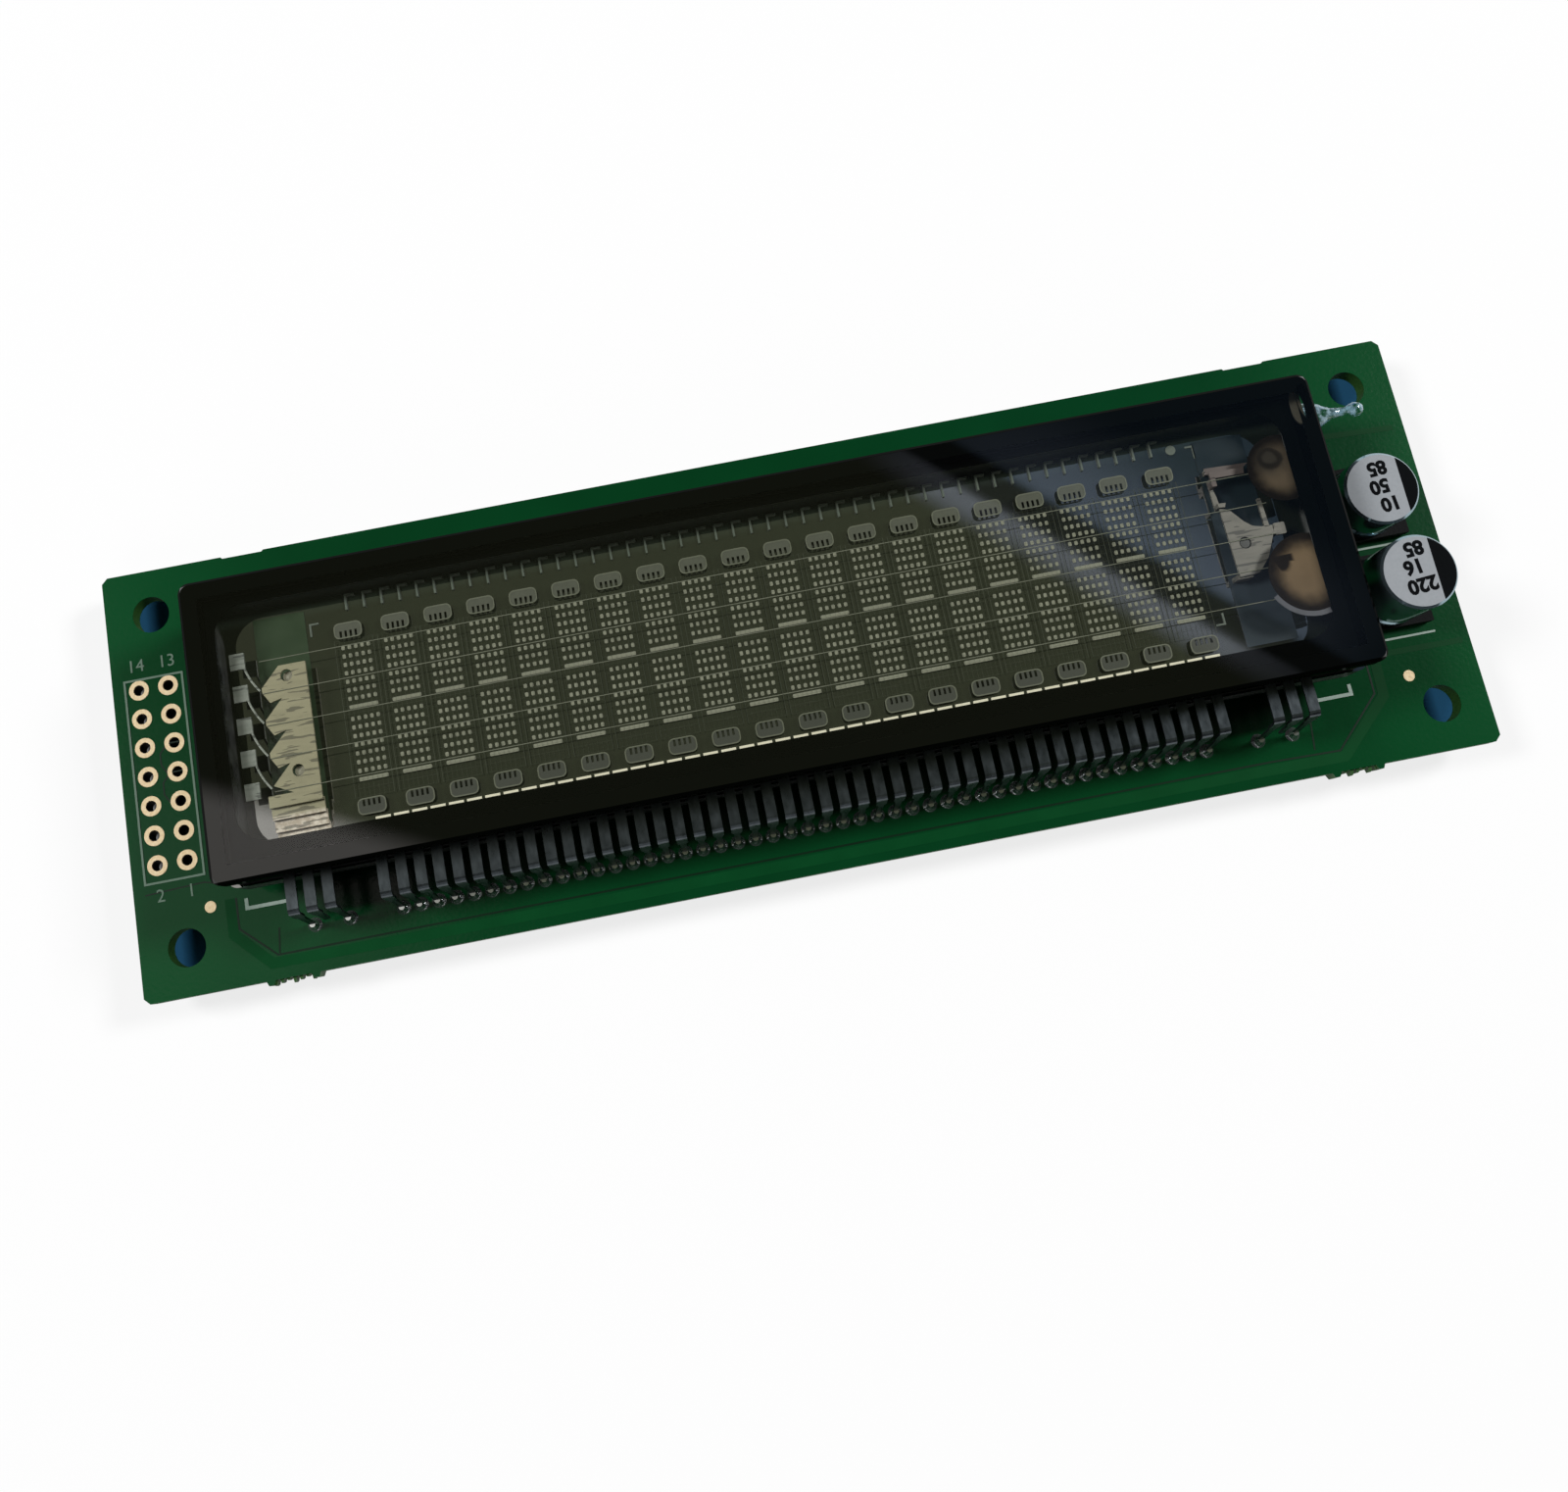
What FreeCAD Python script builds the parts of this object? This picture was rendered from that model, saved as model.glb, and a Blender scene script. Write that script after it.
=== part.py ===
"""Vacuum fluorescent display module with two rows of twenty characters.

A flat evacuated glass tube stands on foam strips over a green circuit board. Its leads bend
down on both long sides to the board. Two chip electrolytics stand beside it, fourteen holes for
a plug take the left end, and the drive electronics are on the rear.

The origin is the centre of the four mounting holes, on the board's front face. +X runs along
the board away from the plug holes, +Y across it, +Z out of the display. Millimetres.
"""
import FreeCAD, Part
import math
import os
import Sketcher

SIZES = {
    # Circuit board: its margins round the tube, and its four mounting holes
    "board_margin_left": 9.8,
    "board_margin_right": 11.8,
    "board_margin_bottom": 7.5,
    "board_margin_top": 4.9,
    "board_thick": 1.6,
    "board_corner": 0.5,
    "mount_inset": 4.0,
    "mount_hole": 3.2,
    # Stubs left on the long edges where the board was broken out of its panel
    "tab_inset": 12.5,
    "tab_span": 3.8,
    "tab_dent": 0.15,
    "nib_width": 0.8,
    "nib_height": 0.4,
    # Plug holes: two columns at the left end
    "plug_pitch": 2.54,
    "plug_rows": 7,
    "plug_inset": 3.55,
    "plug_lift": 0.33,
    "plug_hole": 1.0,
    # Glass tube: foam, substrate, seal, walls and front glass, one above the other
    "tube_length": 94.4,
    "tube_width": 24.6,
    "tube_gap": 2.9,
    "substrate_thick": 2.8,
    "seal_thick": 0.3,
    "cover_height": 4.0,
    "cover_front": 1.6,
    "cover_corner": 0.9,
    "cover_bevel": 0.25,
    "wall_inset": 0.4,
    "wall_thick": 1.0,
    # Black border printed on the inside of the front glass, round the window
    "border_left": 2.1,
    "border_right": 2.7,
    "border_bottom": 3.0,
    "border_top": 2.1,
    "window_corner": 2.5,
    "border_thick": 0.1,
    "foam_length": 12.0,
    "foam_width": 18.0,
    "foam_count": 3,
    # Exhaust tip at the tube's right end
    "tip_drop": 2.3,
    "tip_root": 2.8,
    "tip_waist": 2.5,
    "tip_neck": 0.7,
    "tip_taper": 2.4,
    "tip_draw": 2.8,
    "tip_bead": 1.3,
    "tip_end": 0.8,
    # Characters: phosphor fields and the underline bars below them, from the tube's centre
    "display_shift": -0.2,
    "char_margin": 11.2,
    "char_count": 20,
    "char_rows": 2,
    "char_pitch_y": 6.05,
    "char_gap": 1.2,
    "char_height": 4.7,
    "char_top": 5.73,
    "bar_height": 0.45,
    "bar_drop": 5.23,
    "print_thick": 0.08,
    # White print on the board: the plug's frame, two corner marks and two capacitor lines
    "paint_thick": 0.05,
    "paint_line": 0.18,
    "plug_frame_inset": 1.0,
    "plug_frame_length": 5.2,
    "plug_frame_width": 17.8,
    "plug_frame_drop": 0.25,
    "mark_end": 0.6,
    "mark_drop": 0.4,
    "mark_height": 1.0,
    "mark_length": 4.0,
    "mark_line": 0.3,
    "cap_line_length": 4.7,
    "cap_line_gap": 0.8,
    "cap_line_shift": 1.3,
    # Control grids, one bridge over both characters of a column, from the tube's centre
    "grid_gap": 0.3,
    "grid_top": 7.6,
    "grid_bottom": -8.55,
    "grid_rail": 0.1,
    "grid_end": 1.5,
    "grid_foot": 0.5,
    "grid_lift": 0.5,
    "grid_thick": 0.06,
    # Filament wires
    "wire_count": 5,
    "wire_pitch": 2.7,
    "wire_drop": 0.1,
    "wire_size": 0.1,
    "wire_lift": 1.8,
    "wire_end": 5.2,
    # Springs and toothed plate at the left end, from the tube's left end and centre line
    "anchor_right": 4.0,
    "anchor_length": 1.2,
    "anchor_width": 1.35,
    "anchor_drop": 0.35,
    "spring_radius": 6.0,
    "spring_width": 0.15,
    "spring_start_angle": 196.0,
    "spring_sweep_angle": 22.0,
    "support_thick": 0.25,
    "support_right": 8.9,
    "support_root": 6.7,
    "support_tip": 5.15,
    "support_hook": 0.55,
    "support_top": 4.7,
    "support_bottom": -5.8,
    "support_hole": 1.0,
    "support_hole_x": 7.25,
    "support_hole_drop": 0.9,
    "support_hole_rise": 1.7,
    "support_foot_left": 4.6,
    "support_step": 0.95,
    "support_steps": 3,
    # Fixed plate at the right end, from the tube's right end and centre line
    "carrier_left": -9.3,
    "carrier_right": -5.2,
    "carrier_top": 6.1,
    "carrier_bottom": -3.4,
    "carrier_rail": 0.75,
    "carrier_window": 4.6,
    "carrier_cut_x": 2.2,
    "carrier_cut_y": 3.3,
    "carrier_post": 0.5,
    "base_plate_length": 4.3,
    "base_plate_top": 9.3,
    "base_plate_bottom": -8.7,
    # Getters and the mirrors that they flashed on the glass, from the same end
    "mirror_thick": 0.05,
    "upper_mirror_x": -3.5,
    "upper_mirror_y": 5.1,
    "upper_mirror_size": 5.7,
    "lower_mirror_x": -3.75,
    "lower_mirror_y": -3.9,
    "lower_mirror_size": 6.55,
    "mirror_limit": -2.8,
    "holder_length": 1.6,
    "holder_width": 3.0,
    "holder_height": 1.0,
    "holder_margin": 0.4,
    # Lead row, centred on the display
    "lead_margin": 5.2,
    "lead_count": 47,
    "lead_thick": 0.2,
    "lead_width": 0.9,
    "lead_reach": 3.1,
    "lead_lean": 0.75,
    "end_lead_pitches": 27,
    "short_lead_foot": 1.5,
    # Chip electrolytics at the right end
    "can_size": 6.3,
    "can_bevel": 0.2,
    "can_groove_depth": 0.25,
    "can_groove_height": 0.9,
    "can_groove_width": 0.7,
    "cap_base": 6.6,
    "cap_base_height": 1.0,
    "cap_base_cut": 1.3,
    "cap_pin_width": 0.7,
    "cap_pin_thick": 0.15,
    "cap_pin_stickout": 0.5,
    "large_cap_inset": 6.4,
    "large_cap_y": -4.2,
    "large_cap_height": 7.7,
    "small_cap_inset": 6.2,
    "small_cap_y": 3.75,
    "small_cap_height": 5.4,
    # Rear side: driver, controller, converter coil and small parts
    "rear_height": 2.9,
    "chip_standoff": 0.2,
    "chip_draft_angle": 7.0,
    "pin_thick": 0.15,
    "pin_run": 1.8,
    "pin_foot": 0.6,
    "driver_length": 20.0,
    "driver_width": 14.0,
    "driver_pin_pitch": 0.8,
    "driver_pin_width": 0.35,
    "driver_pins_long": 24,
    "driver_pins_short": 16,
    "memory_length": 12.8,
    "memory_width": 7.5,
    "memory_height": 2.5,
    "memory_pin_pitch": 1.27,
    "memory_pin_width": 0.42,
    "memory_pins": 10,
    "coil_length": 10.0,
    "coil_corner": 1.5,
    "coil_bore": 8.6,
    "coil_gap": 0.25,
    "coil_pin_length": 2.6,
    "coil_pin_thick": 0.15,
    "resonator_length": 7.4,
    "resonator_width": 3.4,
    "resonator_height": 1.8,
    "diode_length": 4.3,
    "diode_width": 2.6,
    "diode_height": 2.1,
    "ceramic_length": 2.0,
    "ceramic_width": 1.25,
    "ceramic_height": 0.85,
    "resistor_length": 1.6,
    "resistor_width": 0.8,
    "resistor_height": 0.45,
}

# Places on the rear, as shares of the board's length and width from the tube's centre line
DRIVER_PLACE = -0.17
MEMORY_PLACE = 0.10
COIL_PLACE = 0.30
RESONATOR_PLACES = [(-0.34, 0.0)]
DIODE_PLACES = [(0.39, 0.13), (0.39, -0.10)]
CERAMIC_PLACES = [(-0.29, 0.22), (-0.29, -0.22), (0.0, 0.22), (0.0, -0.22),
                  (0.21, 0.21), (0.21, -0.21), (0.39, 0.27), (0.39, -0.25)]
RESISTOR_PLACES = [(-0.4, 0.1), (-0.4, 0.03), (-0.4, -0.03), (-0.4, -0.1),
                   (0.21, 0.1), (0.21, 0.03), (0.21, -0.03), (0.21, -0.1)]

doc = FreeCAD.newDocument("display_module")
sheet = doc.addObject("Spreadsheet::Sheet", "sizes")
subparts = []


def number(value):
    """The plain number of a size or of a number."""
    return value.value if isinstance(value, Size) else value


def formula(value):
    """The sheet formula of a size or of a number."""
    return value.formula if isinstance(value, Size) else repr(float(value))


class Size:
    """A length kept as a formula over the sheet, with the number that it stands for now."""

    def __init__(self, text, value):
        self.formula = text
        self.value = value

    def __add__(self, other):
        return Size(f"({self.formula} + {formula(other)})", self.value + number(other))

    def __radd__(self, other):
        return self + other

    def __sub__(self, other):
        return Size(f"({self.formula} - {formula(other)})", self.value - number(other))

    def __rsub__(self, other):
        return Size(f"({formula(other)} - {self.formula})", number(other) - self.value)

    def __mul__(self, other):
        return Size(f"({self.formula} * {formula(other)})", self.value * number(other))

    def __rmul__(self, other):
        return self * other

    def __truediv__(self, other):
        return Size(f"({self.formula} / {formula(other)})", self.value / number(other))

    def __neg__(self):
        return Size(f"(-{self.formula})", -self.value)


def size(name):
    """One cell of the sheet."""
    return Size(f"sizes.{name}", SIZES[name])


def fill_sheet():
    """Writes each driving dimension in the sheet under its own alias."""
    for row, (name, value) in enumerate(SIZES.items(), start=1):
        sheet.set(f"A{row}", name)
        sheet.set(f"B{row}", str(value))
        sheet.setAlias(f"B{row}", name)
    doc.recompute()


# Helpers for bodies, sketches and features


def place(piece, x=0.0, y=0.0, z=0.0):
    """Ties the origin of a piece to the sheet."""
    for axis, value in zip("xyz", (x, y, z)):
        piece.setExpression(f"Placement.Base.{axis}", formula(value))


def new_body(name, x=0.0, y=0.0, z=0.0):
    """A sub-part as a body with an origin of its own."""
    body = doc.addObject("PartDesign::Body", name)
    body.Label = name
    place(body, x, y, z)
    subparts.append(body)
    return body


def new_sketch(body, plane="XY_Plane", lift=0.0):
    """A sketch on one of the body's origin planes, lifted along its normal."""
    sketch = body.newObject("Sketcher::SketchObject", body.Name + "_sketch")
    origin_plane = next(item for item in body.Origin.OriginFeatures if item.Role == plane)
    sketch.AttachmentSupport = [(origin_plane, "")]
    sketch.MapMode = "FlatFace"
    sketch.setExpression("AttachmentOffset.Base.z", formula(lift))
    return sketch


def draw_polygon(sketch, points):
    """Closed outline whose corners are tied to the sheet."""
    first = sketch.GeometryCount
    corners = [FreeCAD.Vector(number(x), number(y), 0) for x, y in points]
    count = len(corners)
    for index, corner in enumerate(corners):
        sketch.addGeometry(Part.LineSegment(corner, corners[(index + 1) % count]))
    for index in range(count):
        line = first + index
        following = first + (index + 1) % count
        sketch.addConstraint(Sketcher.Constraint("Coincident", line, 2, following, 1))
    for index, (x, y) in enumerate(points):
        for kind, value in (("DistanceX", x), ("DistanceY", y)):
            row = sketch.addConstraint(Sketcher.Constraint(kind, -1, 1, first + index, 1, number(value)))
            sketch.setExpression(f"Constraints[{row}]", formula(value))


def draw_rectangle(sketch, center_x, center_y, length, width):
    """Rectangle about a centre."""
    left, right = center_x - length / 2, center_x + length / 2
    low, high = center_y - width / 2, center_y + width / 2
    draw_polygon(sketch, [(left, low), (right, low), (right, high), (left, high)])


def draw_circle(sketch, x, y, diameter):
    """Circle with its centre and diameter tied to the sheet."""
    index = sketch.GeometryCount
    center = FreeCAD.Vector(number(x), number(y), 0)
    sketch.addGeometry(Part.Circle(center, FreeCAD.Vector(0, 0, 1), number(diameter) / 2))
    for kind, value in (("DistanceX", x), ("DistanceY", y)):
        row = sketch.addConstraint(Sketcher.Constraint(kind, -1, 1, index, 3, number(value)))
        sketch.setExpression(f"Constraints[{row}]", formula(value))
    row = sketch.addConstraint(Sketcher.Constraint("Diameter", index, number(diameter)))
    sketch.setExpression(f"Constraints[{row}]", formula(diameter))


def pad(body, sketch, length, midplane=False, downward=False):
    """Extrudes a sketch into the body."""
    feature = body.newObject("PartDesign::Pad", body.Name + "_pad")
    feature.Profile = sketch
    feature.Midplane = midplane
    feature.Reversed = downward
    feature.setExpression("Length", formula(length))
    return feature


def pocket(body, sketch, depth=None, upward=False):
    """Cuts a sketch out of the body, right through when no depth is given."""
    feature = body.newObject("PartDesign::Pocket", body.Name + "_pocket")
    feature.Profile = sketch
    feature.Reversed = upward
    if depth is None:
        feature.Type = "ThroughAll"
        feature.Midplane = True
    else:
        feature.setExpression("Length", formula(depth))
    return feature


def turn(body, profile, axis):
    """Turns a half section round one of the body's origin axes."""
    axes = {item.Role: item for item in body.Origin.OriginFeatures}
    turned = body.newObject("PartDesign::Revolution", body.Name + "_turned")
    turned.Profile = profile
    turned.ReferenceAxis = (axes[axis], [""])
    turned.Angle = 360
    return turned


def repeat(body, feature, axis, pitch, count, second_axis=None, second_pitch=None, second_count=None):
    """Repeats a feature along one or two of the body's origin axes."""
    axes = {item.Role: item for item in body.Origin.OriginFeatures}
    pattern = body.newObject("PartDesign::LinearPattern", body.Name + "_row")
    pattern.Originals = feature if isinstance(feature, list) else [feature]
    pattern.Direction = (axes[axis], [""])
    pattern.Mode = "Spacing"
    pattern.setExpression("Offset", formula(pitch))
    pattern.setExpression("Occurrences", formula(count))
    if second_axis is not None:
        pattern.Direction2 = (axes[second_axis], [""])
        pattern.Mode2 = "Extent"
        pattern.setExpression("Length2", formula((second_count - 1) * second_pitch))
        pattern.setExpression("Occurrences2", formula(second_count))
    body.Tip = pattern
    return pattern


def edges_where(shape, test):
    """Names of the edges whose two ends pass a test."""
    names = []
    for index, edge in enumerate(shape.Edges, start=1):
        if all(test(vertex.Point) for vertex in edge.Vertexes):
            names.append(f"Edge{index}")
    return names


def upright_edges(shape, wanted):
    """Names of the edges along Z whose X and Y pass a test."""
    names = []
    for index, edge in enumerate(shape.Edges, start=1):
        start, end = edge.Vertexes[0].Point, edge.Vertexes[-1].Point
        upright = abs(start.x - end.x) < TINY and abs(start.y - end.y) < TINY and abs(start.z - end.z) > TINY
        if upright and wanted(start.x, start.y):
            names.append(f"Edge{index}")
    return names


def round_edges(body, feature, names, radius):
    """Fillets named edges of the last feature."""
    fillet = body.newObject("PartDesign::Fillet", body.Name + "_fillet")
    fillet.Base = (feature, names)
    fillet.setExpression("Radius", formula(radius))
    return fillet


def bevel_edges(body, feature, names, width):
    """Chamfers named edges of the last feature."""
    chamfer = body.newObject("PartDesign::Chamfer", body.Name + "_chamfer")
    chamfer.Base = (feature, names)
    chamfer.setExpression("Size", formula(width))
    return chamfer


def block(name, x, y, z, length, width, height):
    """A plain box by the centre of its underside."""
    box = doc.addObject("Part::Box", name)
    box.setExpression("Length", formula(length))
    box.setExpression("Width", formula(width))
    box.setExpression("Height", formula(height))
    place(box, x - length / 2, y - width / 2, z)
    return box


def drum(name, x, y, z, diameter, height):
    """An upright cylinder by the centre of its underside."""
    cylinder = doc.addObject("Part::Cylinder", name)
    cylinder.setExpression("Radius", formula(diameter / 2))
    cylinder.setExpression("Height", formula(height))
    place(cylinder, x, y, z)
    return cylinder


def group(name, pieces):
    """Separate solids that share one node."""
    compound = doc.addObject("Part::Compound", name)
    compound.Links = pieces
    compound.Label = name
    subparts.append(compound)
    return compound


def boxes_at(name, places, length, width, height):
    """Like chip parts on the rear face, one box at each place."""
    pieces = []
    for index, (x_share, y_share) in enumerate(places):
        pieces.append(block(f"{name}_{index}", x_share * board_length, tube_y + y_share * board_width,
                            rear_face - height, length, width, height))
    return group(name, pieces)


TINY = 1e-6
HOOK_START = 0.6
HOOK_END = 0.76

fill_sheet()

# Heights, ends and pitches that several pieces share
zero = Size("0", 0.0)
rear_face = -size("board_thick")
substrate_face = size("tube_gap") + size("substrate_thick")
plate_face = substrate_face + size("print_thick")
cover_base = substrate_face + size("seal_thick")
tube_top = cover_base + size("cover_height")
cavity_roof = tube_top - size("cover_front")
board_length = size("board_margin_left") + size("tube_length") + size("board_margin_right")
board_width = size("board_margin_bottom") + size("tube_width") + size("board_margin_top")
tube_x = (size("board_margin_left") - size("board_margin_right")) / 2
tube_y = (size("board_margin_bottom") - size("board_margin_top")) / 2
tube_left = tube_x - size("tube_length") / 2
tube_right = tube_x + size("tube_length") / 2
tube_bottom = tube_y - size("tube_width") / 2
wall_depth = size("wall_inset") + size("wall_thick")
display_x = tube_x + size("display_shift")
char_pitch = (size("tube_length") - 2 * size("char_margin")) / size("char_count")
char_width = char_pitch - size("char_gap")
first_char_x = display_x - (size("char_count") - 1) * char_pitch / 2
lead_pitch = (size("tube_length") - 2 * size("lead_margin")) / (2 * (size("end_lead_pitches") + 1))
first_lead_x = display_x - (size("lead_count") - 1) * lead_pitch / 2
wire_height = substrate_face + size("wire_lift")
support_height = wire_height - size("wire_size") / 2 - size("support_thick")
wire_row = (size("wire_count") - 1) * size("wire_pitch")

# Direction from the start of a spring strip to the centre of its curve
SPRING_X = -math.cos(math.radians(SIZES["spring_start_angle"]))
SPRING_Y = -math.sin(math.radians(SIZES["spring_start_angle"]))


def board_outline():
    """Outline with break-off stubs below and shallow dents above."""
    right = board_length / 2
    top = board_width / 2
    tab = right - size("tab_inset")
    points = [(-right, -top)]
    for side in (-1, 1):
        for end in (-1, 1):
            nib = side * tab + end * size("tab_span") / 2
            half = size("nib_width") / 2
            points.append((nib - half, -top))
            points.append((nib - half / 2, -top - size("nib_height")))
            points.append((nib + half / 2, -top - size("nib_height")))
            points.append((nib + half, -top))
    points.append((right, -top))
    points.append((right, top))
    for side in (1, -1):
        dent = side * tab
        half = size("tab_span") / 2
        points.append((dent + half, top))
        points.append((dent + half - size("tab_dent"), top - size("tab_dent")))
        points.append((dent - half + size("tab_dent"), top - size("tab_dent")))
        points.append((dent - half, top))
    points.append((-right, top))
    return points


def make_board():
    """Circuit board with its mounting holes and plug holes."""
    body = new_body("circuit_board")
    outline = new_sketch(body)
    draw_polygon(outline, board_outline())
    slab = pad(body, outline, size("board_thick"), downward=True)
    doc.recompute()
    half_length, half_width = number(board_length) / 2, number(board_width) / 2
    corners = upright_edges(slab.Shape, lambda x, y: abs(abs(x) - half_length) < TINY
                            and abs(abs(y) - half_width) < TINY)
    bevel_edges(body, slab, corners, size("board_corner"))

    mounts = new_sketch(body)
    for x_side in (-1, 1):
        for y_side in (-1, 1):
            draw_circle(mounts, x_side * (board_length / 2 - size("mount_inset")),
                        y_side * (board_width / 2 - size("mount_inset")), size("mount_hole"))
    pocket(body, mounts)

    plug = new_sketch(body)
    plug_x = size("plug_inset") - size("plug_pitch") / 2 - board_length / 2
    plug_y = size("plug_lift") - (size("plug_rows") - 1) * size("plug_pitch") / 2
    draw_circle(plug, plug_x, plug_y, size("plug_hole"))
    hole = pocket(body, plug)
    repeat(body, hole, "X_Axis", size("plug_pitch"), 2, "Y_Axis", size("plug_pitch"), size("plug_rows"))


def cap_x(which):
    """Centre of a capacitor, from the board's right end."""
    return board_length / 2 - size(f"{which}_cap_inset")


def draw_mark(sketch, x, direction):
    """Corner mark: a short upright line and a longer one below it."""
    line = size("mark_line")
    top = tube_bottom - size("mark_drop")
    bottom = top - size("mark_height")
    far = x + direction * size("mark_length")
    near = x + direction * line
    draw_polygon(sketch, [(x, top), (x, bottom), (far, bottom), (far, bottom + line), (near, bottom + line),
                          (near, top)])


def make_print():
    """White lines printed on the board."""
    body = new_body("board_print")
    sketch = new_sketch(body)
    line = size("paint_line")
    length, width = size("plug_frame_length"), size("plug_frame_width")
    center_x = size("plug_frame_inset") + length / 2 - board_length / 2
    center_y = size("plug_lift") - size("plug_frame_drop")
    draw_rectangle(sketch, center_x, center_y, length, width)
    draw_rectangle(sketch, center_x, center_y, length - 2 * line, width - 2 * line)
    draw_mark(sketch, tube_left - size("mark_end"), 1)
    draw_mark(sketch, tube_right + size("mark_end"), -1)
    for side in (-1, 1):
        y = size("large_cap_y") + side * (size("cap_base") / 2 + size("cap_line_gap"))
        draw_rectangle(sketch, cap_x("large") + size("cap_line_shift"), y, size("cap_line_length"), line)
    pad(body, sketch, size("paint_thick"))


def make_foam():
    """Strips of foam tape that hold the tube off the board."""
    pitch = size("tube_length") / size("foam_count")
    body = new_body("foam_strips", tube_x - (size("foam_count") - 1) * pitch / 2, tube_y)
    outline = new_sketch(body)
    draw_rectangle(outline, zero, zero, size("foam_length"), size("foam_width"))
    strip = pad(body, outline, size("tube_gap"))
    repeat(body, strip, "X_Axis", pitch, size("foam_count"))


def make_substrate():
    """Flat glass that carries the printed anodes."""
    body = new_body("glass_substrate", tube_x, tube_y, size("tube_gap"))
    outline = new_sketch(body)
    draw_rectangle(outline, zero, zero, size("tube_length"), size("tube_width"))
    slab = pad(body, outline, size("substrate_thick"))
    doc.recompute()
    round_edges(body, slab, upright_edges(slab.Shape, lambda x, y: True), size("cover_corner"))


def make_ring(name, base, height):
    """A rectangular ring of glass inside the tube's outline."""
    body = new_body(name, tube_x, tube_y, base)
    sketch = new_sketch(body)
    length = size("tube_length") - 2 * size("wall_inset")
    width = size("tube_width") - 2 * size("wall_inset")
    draw_rectangle(sketch, zero, zero, length, width)
    draw_rectangle(sketch, zero, zero, length - 2 * size("wall_thick"), width - 2 * size("wall_thick"))
    pad(body, sketch, height)


def make_cover():
    """Front glass over the walls, with round corners and a ground edge."""
    body = new_body("cover_glass", tube_x, tube_y, cavity_roof)
    outline = new_sketch(body)
    draw_rectangle(outline, zero, zero, size("tube_length"), size("tube_width"))
    slab = pad(body, outline, size("cover_front"))
    doc.recompute()
    rounded = round_edges(body, slab, upright_edges(slab.Shape, lambda x, y: True), size("cover_corner"))
    doc.recompute()
    front = SIZES["cover_front"]
    outer = edges_where(rounded.Shape, lambda point: abs(point.z - front) < TINY)
    bevel_edges(body, rounded, outer[:1], size("cover_bevel"))


def make_border():
    """Black print on the inside of the front glass, open at the window."""
    body = new_body("black_border", tube_x, tube_y, cavity_roof - size("border_thick"))
    sketch = new_sketch(body)
    draw_rectangle(sketch, zero, zero, size("tube_length") - 2 * wall_depth, size("tube_width") - 2 * wall_depth)
    pad(body, sketch, size("border_thick"))
    window = new_sketch(body)
    window_length = size("tube_length") - size("border_left") - size("border_right")
    window_width = size("tube_width") - size("border_bottom") - size("border_top")
    draw_rectangle(window, (size("border_left") - size("border_right")) / 2,
                   (size("border_bottom") - size("border_top")) / 2, window_length, window_width)
    opening = pocket(body, window, size("border_thick"), upward=True)
    doc.recompute()
    outer_x = number(size("tube_length") / 2 - wall_depth)
    corners = upright_edges(opening.Shape, lambda x, y: abs(x) < outer_x - TINY)
    round_edges(body, opening, corners, size("window_corner"))


def make_tip():
    """Sealed-off end of the glass pipe through which the tube was pumped out."""
    body = new_body("exhaust_tip", tube_right, tube_y + size("tube_width") / 2 - size("tip_drop"),
                    size("tube_gap") + size("substrate_thick") / 2)
    profile = new_sketch(body, "XZ_Plane")
    neck = size("tip_taper") + size("tip_draw")
    bead = neck + size("tip_bead") / 2
    end = neck + size("tip_bead")
    draw_polygon(profile, [(zero, zero), (end, zero), (end, size("tip_end") / 2), (bead, size("tip_bead") / 2),
                           (neck, size("tip_neck") / 2),
                           (size("tip_taper"), size("tip_waist") / 2), (zero, size("tip_root") / 2)])
    turn(body, profile, "X_Axis")


def make_phosphor():
    """Printed fields of dots and the underline bar below each of them."""
    for name, top, height in (("character_fields", size("char_top"), size("char_height")),
                              ("cursor_bars", size("char_top") - size("bar_drop") + size("bar_height") / 2,
                               size("bar_height"))):
        lowest = top - height / 2 - (size("char_rows") - 1) * size("char_pitch_y")
        body = new_body(name, first_char_x, tube_y, substrate_face)
        field = new_sketch(body)
        draw_rectangle(field, zero, lowest, char_width, height)
        plate = pad(body, field, size("print_thick"))
        repeat(body, plate, "X_Axis", char_pitch, size("char_count"),
               "Y_Axis", size("char_pitch_y"), size("char_rows"))


def make_grids():
    """Etched metal bridges over the characters, one for each column."""
    body = new_body("control_grids", first_char_x, tube_y, substrate_face)
    side = new_sketch(body, "YZ_Plane")
    low, high = size("grid_bottom"), size("grid_top")
    under = size("grid_lift")
    over = size("grid_lift") + size("grid_thick")
    foot = size("grid_foot")
    points = [(low, zero), (low + foot, zero), (low + foot, under), (high - foot, under),
              (high - foot, zero), (high, zero), (high, over), (low, over)]
    draw_polygon(side, points)
    grid_width = char_pitch - size("grid_gap")
    bridge = pad(body, side, grid_width, midplane=True)
    window = new_sketch(body)
    opening_width = grid_width - 2 * size("grid_rail")
    opening_length = high - low - 2 * size("grid_end")
    draw_rectangle(window, zero, (high + low) / 2, opening_width, opening_length)
    opening = pocket(body, window)
    repeat(body, [bridge, opening], "X_Axis", char_pitch, size("char_count"))


def make_filaments():
    """Heater wires stretched along the tube over the grids."""
    lowest = tube_y - size("wire_drop") - wire_row / 2
    body = new_body("filaments", tube_left + size("wire_end"), lowest, wire_height)
    section = new_sketch(body, "YZ_Plane")
    draw_rectangle(section, zero, zero, size("wire_size"), size("wire_size"))
    wire = pad(body, section, size("tube_length") - 2 * size("wire_end"))
    repeat(body, wire, "Y_Axis", size("wire_pitch"), size("wire_count"))


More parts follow.
